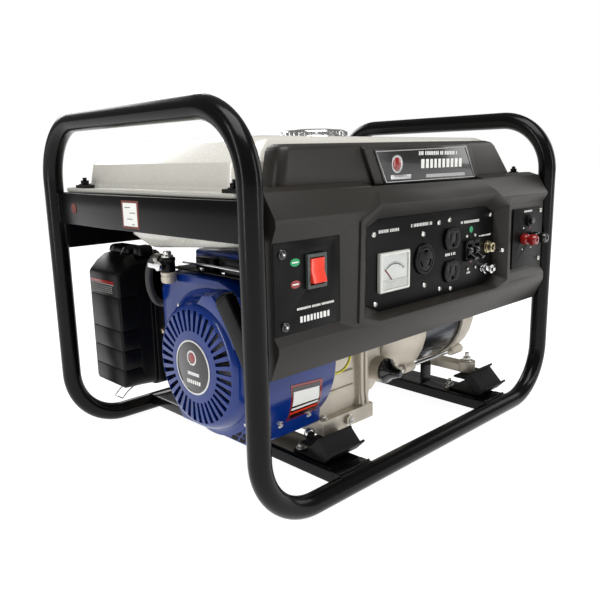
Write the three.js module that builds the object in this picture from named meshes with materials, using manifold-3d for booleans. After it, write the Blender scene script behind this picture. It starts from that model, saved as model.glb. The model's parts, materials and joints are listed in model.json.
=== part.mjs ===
// Portable open-frame generator: a single-cylinder engine and a two-pole alternator on one shaft,
// carried by a tube frame, with a fuel tank on top and a control panel along the front.
// Millimetres, +Z up. X runs along the crankshaft: -X is the recoil starter end, +X the alternator
// end. -Y is the front, where the panel is. The origin is on the ground below the middle of the whole.
import * as THREE from 'three';
import * as BufferGeometryUtils from 'three/addons/utils/BufferGeometryUtils.js';
import Module from 'manifold-3d';

const wasm = await Module();
wasm.setup();

// ---------------------------------------------------------------- driving dimensions
const GAP = 0.4;                // clearance kept between pieces that touch
const CENTRE_Y = 9.1;           // moves the frame back, so that the whole is centred on the origin

const TUBE_R = 12.7;            // frame tube, one inch outside diameter
const TUBE_SIDES = 12;
const TUBE_FLAT = TUBE_R * Math.cos(Math.PI / TUBE_SIDES);   // centre line to a flat of the tube
const FRAME_X = 288;            // half distance between the upright tubes' centre lines, along X
const FRAME_Y = 202;            // half distance between the front and rear tubes, along Y
const HANDLE_Z = 426.7;         // centre line of the carrying handles
const BEND_R = 75;              // centre-line radius of every tube bend
const SPLIT_Z = 322;            // where a handle is welded on an upright
const SHEET = 3;                // steel plate of rails, cross members and brackets
const RAIL_TOP = 339;           // top of the rails that the tank stands on
const RAIL_LOW = 299;           // their lower edge
const REAR_RAIL_LOW = 264;      // lower edge of the deeper rear rail
const FRONT_RAIL_Y = -190.6;    // front face of the front rail
const LEDGE = 28.5;             // width of the ledge that a side rail gives the tank's flange
const MEMBER_LOW = 11.5;        // lower edge of the two cross members
const MEMBER_TOP = 25;
const MEMBER_W = 54;
const LEFT_MEMBER_X = -141;
const RIGHT_MEMBER_X = 170;

const CRANK_Y = -62;            // crankshaft axis
const CRANK_Z = 147;
const BASE_Z = 41;              // underside of the crankcase foot
const BASE_Y = [-135, 45];      // front and rear edges of the crankcase foot
const CYL_X = -66;              // cylinder axis
const CYL_TILT = THREE.MathUtils.degToRad(25);   // cylinder axis above the horizontal, towards +Y
const BORE_R = 34;
const HALF_STROKE = 27;
const HEAD_D = [128, 178];      // cylinder head, as distances from the crankshaft axis
const JOURNAL_R = 15;
const CASE_X = [-128, 0];       // crankcase faces
const OIL_NECK = [-6, -97, 97]; // oil filler neck, which points to the front
const OIL_NECK_R = 17;
const SHROUD_X = [-236, -131];  // fan shroud
const SHROUD_R = 98;
const SHROUD_LOW = 59.3;        // its flat underside
const FLYWHEEL_X = [-226, -194];
const GRIP = { x: -262, y: -145, z: 205, lean: -34 };   // middle of the starter grip, and its lean
const CARB = { y: 104, z: 212, x0: -185, x1: -125 };
const INLET = { x: -160, z: 201, reach: 19.5 };   // where the hose meets the carburettor's bowl
const AIR_BOX = { x: -253, rim: -203, y0: 116, y1: 196, z0: 76, z1: 256 };
const EXHAUST = { y: 104, z: 212 };
const COCK = { x: -246.5, y: 4, top: 273.6, spigot: 262, handle: 256 };

const STATOR_X = [66, 161];
const STATOR_R = 80;
const BELL_X = [STATOR_X[1] + GAP, 206];
const BELL_R = 88;
const FOOT_Z = 50;              // underside of the alternator's foot
const FOOT_REACH = 76;          // from the crankshaft axis to the bolts of that foot

const TANK_TOP = 401;
const TANK_WALL = 2.5;
const CAP_AT = [0, 0];          // filler, in X and Y

const FASCIA_X = 269;           // half length of the control fascia
const FACE_Y = -214;            // its vertical front face
const PROUD = 2.5;              // how far its centre stands forward of that face
const PLATE_Y = -197;           // face of the panel plate
const POCKET_Y = -208;          // floor of the two side pockets
const FRONT = [0, -1, 0];       // direction that everything on the panel faces
const VOLT = { x: -74.5, z: 247.5, w: 55, h: 46, pivotZ: 233 };
const ROUND = { x: -14, z: 254 };
const OUTLET_DEPTH = 3.6;       // how far the outlets stand out of the panel plate
const DUPLEX = { x: 45, z: [273.5, 231.5] };
const BREAKER = { x: [84, 101], z: 253, r: 7 };
const TOGGLE = { x: 133.5, z: 253.5 };
const GROUND = { x: 131, z: 224 };
const SWITCH = { x0: -226, x1: -199, z0: 250, z1: 284.5 };
const DC_POSTS = { x: [206, 236], z: 258 };
const DC_BUTTON = { x: 221, z: 283 };

// ---------------------------------------------------------------- solids
const pointOf = (p) => new THREE.Vector2(p[0], p[1]);

// A closed geometry becomes a solid that can be joined and cut.
function solid(geometry) {
  const bare = geometry.index ? geometry.toNonIndexed() : geometry.clone();
  bare.deleteAttribute('normal');
  bare.deleteAttribute('uv');
  const merged = BufferGeometryUtils.mergeVertices(bare, 1e-4);
  const mesh = new wasm.Mesh({
    numProp: 3,
    vertProperties: Float32Array.from(merged.attributes.position.array),
    triVerts: Uint32Array.from(merged.index.array),
  });
  return new wasm.Manifold(mesh);
}

function geometryOf(manifold) {
  const mesh = manifold.getMesh();
  const geometry = new THREE.BufferGeometry();
  geometry.setAttribute('position', new THREE.BufferAttribute(Float32Array.from(mesh.vertProperties), 3));
  geometry.setIndex(new THREE.BufferAttribute(Uint32Array.from(mesh.triVerts), 1));
  return geometry;
}

const join = (first, ...others) => others.reduce((sum, next) => sum.add(next), first);
const cut = (first, ...others) => others.reduce((rest, next) => rest.subtract(next), first);

function extrude(points, depth) {
  return new THREE.ExtrudeGeometry(new THREE.Shape(points.map(pointOf)), { depth, bevelEnabled: false });
}

// An outline in the (Y, Z) plane, extruded from x0 to x1.
function prismX(points, x0, x1) {
  const turn = new THREE.Matrix4().set(0, 0, 1, x0, 1, 0, 0, 0, 0, 1, 0, 0, 0, 0, 0, 1);
  return solid(extrude(points, x1 - x0).applyMatrix4(turn));
}

// An outline in the (X, Z) plane, extruded from y0 to y1.
function prismY(points, y0, y1) {
  const turn = new THREE.Matrix4().set(1, 0, 0, 0, 0, 0, -1, y1, 0, 1, 0, 0, 0, 0, 0, 1);
  return solid(extrude(points, y1 - y0).applyMatrix4(turn));
}

// An outline in the (X, Y) plane, extruded from z0 to z1.
function prismZ(points, z0, z1) {
  return solid(extrude(points, z1 - z0).translate(0, 0, z0));
}

function box(x0, x1, y0, y1, z0, z1) {
  const geometry = new THREE.BoxGeometry(x1 - x0, y1 - y0, z1 - z0);
  return solid(geometry.translate((x0 + x1) / 2, (y0 + y1) / 2, (z0 + z1) / 2));
}

// A turned piece: profile is [radius, distance along the axis], starting and ending on the axis
// or closing on itself. origin is where distance 0 lies, direction is where the axis points.
function turned(profile, origin, direction, sides = 20) {
  const geometry = new THREE.LatheGeometry(profile.map(pointOf), sides);
  const up = new THREE.Vector3(0, 1, 0);
  const way = new THREE.Vector3(...direction).normalize();
  geometry.applyQuaternion(new THREE.Quaternion().setFromUnitVectors(up, way));
  return solid(geometry.translate(...origin));
}

const disc = (r, a, b) => [[0, a], [r, a], [r, b], [0, b]];
const ring = (r0, r1, a, b) => [[r0, a], [r1, a], [r1, b], [r0, b], [r0, a]];

function arcPoints(cx, cz, r, from, to, steps) {
  return Array.from({ length: steps + 1 }, (_, i) => {
    const angle = THREE.MathUtils.degToRad(from + ((to - from) * i) / steps);
    return [cx + r * Math.cos(angle), cz + r * Math.sin(angle)];
  });
}

// A rectangle with round corners, as points that run once round it.
function roundRect(u0, u1, v0, v1, r, steps = 3) {
  return [
    ...arcPoints(u1 - r, v0 + r, r, -90, 0, steps),
    ...arcPoints(u1 - r, v1 - r, r, 0, 90, steps),
    ...arcPoints(u0 + r, v1 - r, r, 90, 180, steps),
    ...arcPoints(u0 + r, v0 + r, r, 180, 270, steps),
  ];
}

function signedVolume(points, index) {
  let sum = 0;
  for (let i = 0; i < index.length; i += 3) {
    const [a, b, c] = [0, 1, 2].map((k) => new THREE.Vector3(...points[index[i + k]]));
    sum += a.dot(b.cross(c)) / 6;
  }
  return sum;
}

// A skin stretched over rings of equally many 3-D points, closed by a fan at each end. The rings
// may run either way round: the faces are turned to point outwards.
function lofted(rings) {
  const count = rings[0].length;
  const middle = (one) => one.reduce((sum, p) => sum.map((v, k) => v + p[k] / count), [0, 0, 0]);
  const points = [...rings.flat(), middle(rings[0]), middle(rings.at(-1))];
  const first = rings.length * count;
  const index = [];
  for (let i = 0; i < count; i += 1) {
    const next = (i + 1) % count;
    index.push(first, next, i);
    for (let k = 0; k + 1 < rings.length; k += 1) {
      const [a, b, c, d] = [k * count + i, k * count + next, (k + 1) * count + next, (k + 1) * count + i];
      index.push(a, b, c, a, c, d);
    }
    index.push(first + 1, (rings.length - 1) * count + i, (rings.length - 1) * count + next);
  }
  if (signedVolume(points, index) < 0) index.reverse();
  const geometry = new THREE.BufferGeometry();
  geometry.setAttribute('position', new THREE.Float32BufferAttribute(points.flat(), 3));
  geometry.setIndex(index);
  return solid(geometry);
}

// Rings for lofted(): round rectangles stacked along Z, along X or along Y.
const ringAtZ = (z, x0, x1, y0, y1, r) => roundRect(x0, x1, y0, y1, r).map(([x, y]) => [x, y, z]);
const ringAtX = (x, y0, y1, z0, z1, r) => roundRect(y0, y1, z0, z1, r).map(([y, z]) => [x, y, z]);

// A pipe centre line: straight legs between corners, each corner rounded to one radius.
// Sections stand only where they are needed: at the ends of legs and along the bends.
class BentPath extends THREE.Curve {
  constructor(corners, radius, bendSteps = 6) {
    super();
    const at = corners.map((c) => new THREE.Vector3(...c));
    this.stations = [{ point: at[0], tangent: at[1].clone().sub(at[0]).normalize() }];
    for (let i = 1; i + 1 < at.length; i += 1) this.addBend(at[i - 1], at[i], at[i + 1], radius, bendSteps);
    const last = at.at(-1);
    this.stations.push({ point: last, tangent: last.clone().sub(at.at(-2)).normalize() });
  }

  addBend(before, corner, after, radius, steps) {
    const into = corner.clone().sub(before).normalize();
    const out = after.clone().sub(corner).normalize();
    const turn = into.angleTo(out);
    const start = corner.clone().addScaledVector(into, -radius * Math.tan(turn / 2));
    const inward = out.clone().addScaledVector(into, -into.dot(out)).normalize();
    for (let k = 0; k <= steps; k += 1) {
      const angle = (turn * k) / steps;
      const point = start.clone().addScaledVector(into, radius * Math.sin(angle));
      point.addScaledVector(inward, radius * (1 - Math.cos(angle)));
      const tangent = into.clone().multiplyScalar(Math.cos(angle)).addScaledVector(inward, Math.sin(angle));
      this.stations.push({ point, tangent });
    }
  }

  station(u) {
    return this.stations[Math.round(u * (this.stations.length - 1))];
  }

  getPoint(t, target = new THREE.Vector3()) {
    return target.copy(this.station(t).point);
  }

  getPointAt(u, target) {
    return this.getPoint(u, target);
  }

  getTangentAt(u, target = new THREE.Vector3()) {
    return target.copy(this.station(u).tangent);
  }
}

function roundBar(curve, radius, sides, steps) {
  const half = 180 / sides;       // turns the section, so that a level bar has a flat underneath
  const section = new THREE.Shape(arcPoints(0, 0, radius, half, 360 - half, sides - 1).map(pointOf));
  return solid(new THREE.ExtrudeGeometry(section, { extrudePath: curve, steps, bevelEnabled: false }));
}

function bentBar(corners, radius, bend, sides) {
  const path = new BentPath(corners, bend);
  return roundBar(path, radius, sides, path.stations.length - 1);
}

// ---------------------------------------------------------------- the scene graph
const generator = new THREE.Group();
generator.name = 'generator';

const PAINTS = {
  gloss_black: { color: 0x0b0b0c, roughness: 0.25, metalness: 0.2 },
  panel_black: { color: 0x3a3936, roughness: 0.6, metalness: 0 },
  matte_black: { color: 0x161616, roughness: 0.65, metalness: 0 },
  rubber: { color: 0x101010, roughness: 0.85, metalness: 0 },
  blue: { color: 0x1034a8, roughness: 0.2, metalness: 0.2 },
  ivory: { color: 0xe4e0d6, roughness: 0.25, metalness: 0 },
  cast_alloy: { color: 0xb4aea2, roughness: 0.5, metalness: 0.6 },
  bright_steel: { color: 0xd8d8d6, roughness: 0.2, metalness: 1 },
  dark_steel: { color: 0x3b3c40, roughness: 0.35, metalness: 0.9 },
  red: { color: 0xd0301c, roughness: 0.35, metalness: 0 },
  white: { color: 0xf0f0ee, roughness: 0.4, metalness: 0 },
  yellow: { color: 0xe4d720, roughness: 0.45, metalness: 0 },
};

function add(name, manifold, paint, parent = generator) {
  const mesh = new THREE.Mesh(geometryOf(manifold), new THREE.MeshStandardMaterial(PAINTS[paint]));
  mesh.name = name;
  parent.add(mesh);
  return mesh;
}

// ---------------------------------------------------------------- tube frame
function frameTubes() {
  const tube = (corners) => bentBar(corners, TUBE_R, BEND_R, TUBE_SIDES);
  for (const [name, side] of [['front', -1], ['rear', 1]]) {
    const y = side * FRAME_Y;
    const left = [[-FRAME_X, y, SPLIT_Z], [-FRAME_X, y, TUBE_FLAT]];
    const right = [[FRAME_X, y, TUBE_FLAT], [FRAME_X, y, SPLIT_Z]];
    add(`${name}_frame_tube`, tube([...left, ...right]), 'gloss_black');
  }
  for (const [name, side] of [['left', -1], ['right', 1]]) {
    const x = side * FRAME_X;
    const front = [[x, -FRAME_Y, SPLIT_Z + GAP], [x, -FRAME_Y, HANDLE_Z]];
    const rear = [[x, FRAME_Y, HANDLE_Z], [x, FRAME_Y, SPLIT_Z + GAP]];
    add(`${name}_carry_handle`, tube([...front, ...rear]), 'gloss_black');
  }
}

function tankRails() {
  const inner = FRAME_Y - TUBE_R - GAP;
  for (const [name, side] of [['left', -1], ['right', 1]]) {
    const upright = box(FRAME_X - SHEET / 2, FRAME_X + SHEET / 2, -inner, inner, RAIL_LOW, RAIL_TOP);
    const ledge = box(FRAME_X - LEDGE, FRAME_X, -inner + SHEET, inner - SHEET, RAIL_TOP - SHEET, RAIL_TOP);
    const rail = join(upright, ledge);
    add(`${name}_tank_rail`, side > 0 ? rail : rail.mirror([1, 0, 0]), 'gloss_black');
  }
  const shortLedge = FRAME_X - LEDGE - 1;
  const reach = FRAME_X - TUBE_R - GAP;
  const rear = join(
    box(-reach, reach, FRAME_Y - SHEET / 2, FRAME_Y + SHEET / 2, REAR_RAIL_LOW, RAIL_TOP),
    box(-shortLedge, shortLedge, FRAME_Y - 13, FRAME_Y, RAIL_TOP - SHEET, RAIL_TOP),
  );
  add('rear_tank_rail', rear, 'gloss_black');
  const frontReach = FRAME_X - TUBE_R / 2;
  const front = join(
    box(-frontReach, frontReach, FRONT_RAIL_Y, FRONT_RAIL_Y + SHEET, RAIL_LOW, RAIL_TOP),
    box(-shortLedge, shortLedge, FRONT_RAIL_Y, FRONT_RAIL_Y + 32, RAIL_TOP - SHEET, RAIL_TOP),
  );
  add('front_tank_rail', front, 'gloss_black');
}

// A channel across the frame, open below, with a stiffening bead and bolt holes.
function crossMember(x, holes) {
  const [x0, x1, end] = [x - MEMBER_W / 2, x + MEMBER_W / 2, FRAME_Y - TUBE_R - GAP];
  const channel = cut(
    box(x0, x1, -end, end, MEMBER_LOW, MEMBER_TOP),
    box(x0 + SHEET, x1 - SHEET, -end - 1, end + 1, MEMBER_LOW - 1, MEMBER_TOP - SHEET),
  );
  const bead = box(x0 + 4, x0 + 7, -end + 12, end - 12, MEMBER_TOP - 1, MEMBER_TOP + 1);
  const drills = holes.map(([hx, hy]) => turned(disc(5, -9, 9), [hx, hy, MEMBER_TOP], [0, 0, 1], 12));
  return cut(join(channel, bead), ...drills);
}

function crossMembers() {
  add('left_cross_member', crossMember(LEFT_MEMBER_X, [[-133, -184], [-133, 88]]), 'gloss_black');
  const stay = box(RIGHT_MEMBER_X - 20, RIGHT_MEMBER_X + 4, -82, -79, MEMBER_TOP - 1, 58);
  const right = join(crossMember(RIGHT_MEMBER_X, [[190, -182], [190, 60]]), stay);
  add('right_cross_member', right, 'gloss_black');
}

// A bonded rubber mount: two bent steel plates whose outer ends slope up at 45 degrees, with a
// block of rubber between the slopes. under is the underside of the upper plate's flange, bend
// and lowerBend are where the two plates turn up, both in Y.
function bondedMount([x0, x1], under, bend, lowerBend) {
  const rise = 14;
  const foot = MEMBER_TOP + GAP;
  const step = SHEET / Math.SQRT2;
  const corner = SHEET * Math.tan(Math.PI / 8);
  const tip = [lowerBend - rise + step, foot + rise + step];
  const seat = [tip[0] + 5, tip[1] - 5];
  const slant = (bend + under - seat[0] - seat[1]) / 2;
  return prismX([
    [bend + 20, under], [bend, under], [lowerBend + 6, foot + SHEET], [lowerBend + 52, foot + SHEET],
    [lowerBend + 52, foot], [lowerBend, foot], [lowerBend - rise, foot + rise], tip,
    seat, [seat[0] + slant, seat[1] + slant], [bend - rise, under + rise],
    [bend - rise + step, under + rise + step], [bend + corner, under + SHEET], [bend + 20, under + SHEET],
  ], x0, x1);
}

function mounts() {
  const behind = (mount, middle) => mount.mirror([0, 1, 0]).translate([0, 2 * middle, 0]);
  const left = bondedMount([-158, -100], BASE_Z - GAP - SHEET, -143, -164);
  const right = bondedMount([158, 214], FOOT_Z - GAP - SHEET, -154, -177);
  add('front_left_mount', left, 'rubber');
  add('rear_left_mount', behind(left, (BASE_Y[0] + BASE_Y[1]) / 2), 'rubber');
  add('front_right_mount', right, 'rubber');
  add('rear_right_mount', behind(right, CRANK_Y), 'rubber');
}

// ---------------------------------------------------------------- control panel
// Right half of an outline, and its left half, mirrored and moved in by shift.
const outlineXZ = (pairs, shift) => [...pairs, ...[...pairs].reverse().map(([x, z]) => [shift - x, z])];
const atY = (outline, y) => outline.map(([x, z]) => [x, y, z]);
// Right halves of the raised centre, of the window's rim and of the plate at its bottom.
const RAISED = [[133, 195], [163, 203], [159, 311], [126, 327], [112, 342], [108, 352]];
const WINDOW_RIM = [[128, 199], [156, 207], [154, 309], [124, 326]];
const WINDOW = [[126, 203], [149, 214], [147, 299], [127, 309]];
const RAISED_SHIFT = 8;           // the raised centre is shorter to the left of the middle
const WINDOW_SHIFT = 27;          // and so is the plate at the bottom of the window
const shrunk = (pairs, by) => pairs.map(([x, z]) => [x - by, z > VOLT.z ? z - by : z + by]);

function controlFascia() {
  const skin = [[-178, 350], [-184, 350], [-198, 346], [FACE_Y, 321], [FACE_Y, 192.5],
    [-201, 163], [-178, 163]];
  const raisedSkin = [[-178, 345], [-186, 345], [-198 - PROUD, 342], [FACE_Y - PROUD, 327],
    [FACE_Y - PROUD, 192], [-210, 182], [-178, 182]];
  const notch = box(-114, 114, FACE_Y - 10, -170, 345, 360);   // room for the cowl's raised field
  const body = cut(prismX(skin, -FASCIA_X, FASCIA_X), notch);
  const raised = prismY(outlineXZ(RAISED, RAISED_SHIFT), -225, -179);
  const centre = prismX(raisedSkin, -170, 170).intersect(raised);
  const hollow = [[-170, 341.5], [-186, 341.5], [-191, 337], [-191, 172], [-188, 166.5], [-170, 166.5]];
  const wall = 3;
  const seat = PLATE_Y + SHEET;   // ledge that the panel plate lies on
  const pocket = lofted([
    atY(roundRect(163, 282, 201, 320, 3), FACE_Y - 1), atY(roundRect(174, 282, 212, 308, 3), POCKET_Y),
  ]);
  const leftPocket = lofted([
    atY(roundRect(-282, -156, 198, 316, 3), FACE_Y - 1), atY(roundRect(-282, -175, 207, 300, 3), POCKET_Y),
  ]);
  const back = box(176, 262, POCKET_Y + wall, -188, 216, 298);
  const { x0, x1, z0, z1 } = SWITCH;
  add('control_fascia', cut(
    join(body, centre),
    prismX(hollow, -FASCIA_X + wall, FASCIA_X - wall),
    lofted([
      atY(outlineXZ(WINDOW_RIM, RAISED_SHIFT), FACE_Y - PROUD - 0.2),
      atY(outlineXZ(WINDOW, WINDOW_SHIFT), PLATE_Y),
    ]),
    prismY(outlineXZ(WINDOW, WINDOW_SHIFT), PLATE_Y - 0.5, seat),
    prismY(outlineXZ(shrunk(WINDOW, 7), WINDOW_SHIFT), seat - 1, -185),
    box(-300, 300, FRONT_RAIL_Y - GAP, -170, RAIL_LOW - GAP, RAIL_TOP + GAP),
    pocket, back, leftPocket, back.mirror([1, 0, 0]),
    box(x0 + 2, x1 - 2, POCKET_Y - 1, POCKET_Y + wall + 1, z0 + 2, z1 - 2),
  ), 'panel_black');
}

// The cover over the front of the tank, with the raised field that carries the name plate.
function tankCowl() {
  const low = RAIL_TOP + 11 + GAP;
  const brim = 388;
  const crown = 393;
  const outer = lofted([
    ringAtZ(low, -234, 234, -182, -120, 12), ringAtZ(brim, -210, 210, -181, -120, 12),
    ringAtZ(crown, -198, 198, -172, -120, 8),
  ]);
  const field = lofted([
    ringAtZ(low - 5, -112, 112, -187, -160, 2), ringAtZ(brim - 6, -108, 108, -186, -160, 2),
    ringAtZ(brim + 1, -104, 104, -178, -160, 2),
  ]);
  const inner = lofted([
    ringAtZ(low - 6, -231, 231, -179, -110, 10), ringAtZ(brim - 1, -207, 207, -178, -110, 10),
    ringAtZ(crown - 2.5, -195, 195, -169, -110, 7),
  ]);
  const behind = box(-250, 250, -155, -100, low - 10, crown + 10);
  add('tank_cowl', cut(join(outer, field), inner, behind), 'panel_black');
}

function panelPlate() {
  const sheet = prismY(outlineXZ(shrunk(WINDOW, GAP), WINDOW_SHIFT), PLATE_Y, PLATE_Y + SHEET - GAP);
  const { x: [left, right], z } = BREAKER;
  const escutcheon = box(left - 9, right + 9, PLATE_Y - 4, PLATE_Y + 1, z - 13, z + 13);
  const holes = BREAKER.x.map((x) => box(x - 5.3, x + 5.3, PLATE_Y - 8, PLATE_Y + 12, z - 9, z + 9));
  add('panel_plate', cut(join(sheet, escutcheon), ...holes), 'panel_black');
}

function voltmeter() {
  const back = PLATE_Y - GAP;
  const front = back - 5.4;
  const { x, z, w, h } = VOLT;
  const [u, v] = [w / 2, h / 2];
  const rim = (inset) => roundRect(x - u + inset, x + u - inset, z - v + inset, z + v - inset, 2);
  const frame = lofted([atY(rim(0), back), atY(rim(0), front + 1.5), atY(rim(1.5), front)]);
  const dial = box(x - u + 4, x + u - 4, front - 1, back - 2, z - v + 3, z + v - 3);
  add('voltmeter', cut(frame, dial), 'matte_black');

  const needle = new THREE.Group();
  needle.position.set(x, back - 3, VOLT.pivotZ);
  needle.rotation.y = THREE.MathUtils.degToRad(-45);
  generator.add(needle);
  const hand = join(turned(disc(2.6, 0, 1), [0, 0, 0], FRONT, 12), box(-0.7, 0.7, -0.9, -0.1, -5, 25));
  add('voltmeter_needle', hand, 'red', needle);
}

// A slot pressed into a front face, as a box to cut out.
function slotBox(x, z, w, h, front) {
  return box(x - w / 2, x + w / 2, front - 1, front + 2.6, z - h / 2, z + h / 2);
}

function outlets() {
  const back = PLATE_Y - GAP;
  const front = back - OUTLET_DEPTH;
  const rim = [[0, 0], [19.4, 0], [19.4, OUTLET_DEPTH - 1.2], [17.4, OUTLET_DEPTH], [0, OUTLET_DEPTH]];
  const body = turned(rim, [ROUND.x, back, ROUND.z], FRONT, 24);
  const slots = [90, 210, 330].map((angle) => {
    const blade = slotBox(0, 10.5, 7, 2.2, front);
    return blade.rotate([0, angle, 0]).translate([ROUND.x, 0, ROUND.z]);
  });
  add('round_outlet', cut(body, ...slots), 'matte_black');

  const { x, z } = DUPLEX;
  const yoke = box(x - 8, x + 8, back - 1.2, back, z[1] - 24, z[0] + 24);
  const faces = z.map((middle) => {
    const edge = [...arcPoints(x, middle, 17.5, -50, 50, 6), ...arcPoints(x, middle, 17.5, 130, 230, 6)];
    return prismY(edge, front, back);
  });
  const pins = z.flatMap((middle) => [
    slotBox(x - 6.3, middle + 2, 2, 8, front), slotBox(x + 6.3, middle + 2, 2, 6.5, front),
    slotBox(x, middle - 8, 4, 4, front),
  ]);
  add('duplex_outlet', cut(join(yoke, ...faces), ...pins), 'matte_black');
}

function circuitBreakers() {
  const { z, r } = BREAKER;
  BREAKER.x.forEach((x, i) => {
    const lever = new THREE.Group();
    lever.position.set(x, PLATE_Y, z);
    lever.rotation.x = THREE.MathUtils.degToRad(32);
    generator.add(lever);
    const drum = turned(disc(r, -4.8, 4.8), [0, 0, 0], [1, 0, 0], 16);
    const stick = box(-3.4, 3.4, -17, 0, -2.2, 2.2);
    add(`breaker_lever_${'ab'[i]}`, join(drum, stick), 'matte_black', lever);
  });
}

function toggleSwitch() {
  const back = PLATE_Y - GAP;
  const { x, z } = TOGGLE;
  const nut = turned(disc(8.5, 0, 3), [x, back, z], FRONT, 6);
  const neck = turned(disc(5.5, 1, 9), [x, back, z], FRONT, 14);
  const mouth = turned([[0, 2.5], [3.2, 2.5], [4.6, 9.5], [0, 9.5]], [x, back, z], FRONT, 12);
  add('selector_switch', cut(join(nut, neck), mouth), 'bright_steel');
  const lever = new THREE.Group();
  lever.position.set(x, back - 5, z);
  lever.rotation.x = THREE.MathUtils.degToRad(10);
  generator.add(lever);
  const stick = [[0, -1.8], [1.4, -1.8], [2, 12], [2.9, 17], [2.4, 19.5], [0, 20]];
  add('selector_lever', turned(stick, [0, 0, 0], FRONT, 12), 'bright_steel', lever);
}

function groundTerminal() {
  const at = [GROUND.x, PLATE_Y - GAP, GROUND.z];
  const stud = [[0, 0], [8, 0], [8, 1.6], [6, 1.6], [6, 3.6], [3, 3.6], [3, 14], [0, 14]];
  add('ground_terminal', turned(stud, at, FRONT, 18), 'bright_steel');
  const hub = turned(ring(3.4, 6, 4, 10), at, FRONT, 18);
  const wing = prismY([[5, -3], [12, 0], [13, 5], [10, 6], [5, 3]], -8.4, -5.8);
  const wings = [wing, wing.mirror([1, 0, 0])].map((one) => one.translate(at));
  add('ground_nut', join(hub, ...wings), 'bright_steel');
}

function engineSwitch() {
  const { x0, x1, z0, z1 } = SWITCH;
  const back = POCKET_Y - GAP;
  const bezel = box(x0, x1, back - 3.6, back, z0, z1);
  const can = box(x0 + 2.5, x1 - 2.5, back - 1, -184, z0 + 2.5, z1 - 2.5);
  const well = box(x0 + 3.5, x1 - 3.5, back - 5, -190, z0 + 3.5, z1 - 3.5);
  add('engine_switch_housing', cut(join(bezel, can), well), 'matte_black');

  const rocker = new THREE.Group();
  rocker.position.set((x0 + x1) / 2, back - 1, (z0 + z1) / 2);
  rocker.rotation.x = THREE.MathUtils.degToRad(-8);
  generator.add(rocker);
  const half = (z1 - z0) / 2 - 4.2;
  const profile = [[-5.4, -half + 0.6], [2, -half + 1.4], [8, -4], [8, 4], [2, half - 1.4],
    [-5.4, half - 0.6], [-3.2, 0]];
  add('engine_switch_rocker', prismX(profile, -9.6, 9.6), 'red', rocker);
}

function dcPanel() {
  const back = POCKET_Y - GAP;
  const { x, z } = DC_POSTS;
  const plate = box(179, 262, back - 2, back, 217, 300);
  const studs = x.map((px) => turned(disc(2.2, 1, 22), [px, back, z], FRONT, 10));
  const buttonAt = [DC_BUTTON.x, back, DC_BUTTON.z];
  const collar = turned(disc(8.5, 1, 6), buttonAt, FRONT, 18);
  const well = turned(disc(5, 2.4, 7), buttonAt, FRONT, 16);
  add('dc_panel', cut(join(plate, ...studs, collar), well), 'matte_black');

  const knob = [[2.6, 2.4], [7, 2.4], [7.4, 4], [7.4, 10], [5.6, 12], [5.6, 13], [7.4, 15], [7.4, 22],
    [6, 24.5], [0, 24.5], [0, 23], [2.6, 23], [2.6, 2.4]];
  add('dc_terminal_red', turned(knob, [x[0], back, z], FRONT, 18), 'red');
  add('dc_terminal_black', turned(knob, [x[1], back, z], FRONT, 18), 'matte_black');
  const button = [[0, 4.6], [4.6, 4.6], [4.6, 9.4], [3.8, 10.4], [0, 10.4]];
  add('dc_breaker_button', turned(button, buttonAt, FRONT, 16), 'matte_black');
}

// ---------------------------------------------------------------- fuel
// Rings of the tank's two shells, drawn smaller by inset for the hollow inside.
function tankShells(inset) {
  const at = (z, x, y0, y1, r) => ringAtZ(z, -x + inset, x - inset, y0 + inset, y1 - inset, r);
  const sump = [
    at(274 + inset, 252, -130, 78, 24), at(280 + inset, 255, -142, 82, 30), at(303, 256, -148, 92, 32),
  ];
  const body = [
    at(302 + inset, 256, -148, 180, 32), at(343, 258, -153, 187, 36), at(380, 246, -146, 176, 30),
    at(395 - inset, 234, -140, 160, 20), at(TANK_TOP - inset, 222, -132, 100, 20),
  ];
  return join(lofted(body), lofted(inset > 0 ? [...sump, at(303 + 2 * inset, 254, -146, 90, 30)] : sump));
}

function fuelTank() {
  const flange = prismZ(roundRect(-278, 278, -172, 196, 14), RAIL_TOP + GAP, RAIL_TOP + 6);
  const filler = turned(disc(26, -12, 12), [...CAP_AT, TANK_TOP], [0, 0, 1], 24);
  const outlet = turned(disc(3, -20, 20), [COCK.x, COCK.y, COCK.top], [0, 0, 1], 8);
  add('fuel_tank', cut(join(tankShells(0), flange), tankShells(TANK_WALL), filler, outlet), 'ivory');

  const cap = [[0, -6], [24.5, -6], [24.5, GAP], [46, GAP], [47, 3], [46, 10], [41, 13], [0, 15]];
  add('fuel_cap', turned(cap, [...CAP_AT, TANK_TOP], [0, 0, 1], 28), 'bright_steel');
}

function fuelCock() {
  const { x, y, top, spigot, handle } = COCK;
  const body = [[0, -40], [8, -40], [9.1, -37], [9.1, -28], [8, -26], [9, -24], [9, -6], [6, -4],
    [6, 0], [0, 0]];
  const nozzle = turned(disc(3.6, 0, 17), [x, y, spigot], [0, 1, 0], 10);
  const boss = turned(disc(6, 0, 11), [x, y, handle], [-1, 0, 0], 12);
  add('fuel_cock', join(turned(body, [x, y, top], [0, 0, 1], 16), nozzle, boss), 'cast_alloy');
  const pivot = x - 11 - GAP;
  const paddle = join(
    turned(disc(5.5, 0, 4), [pivot, y, handle], [-1, 0, 0], 14),
    box(pivot - 4, pivot - 1, y - 3.5, y + 20, handle - 3, handle + 3),
  );
  add('fuel_cock_lever', paddle, 'bright_steel');
}

const smoothCurve = (points) => new THREE.CatmullRomCurve3(points.map((p) => new THREE.Vector3(...p)));

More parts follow.
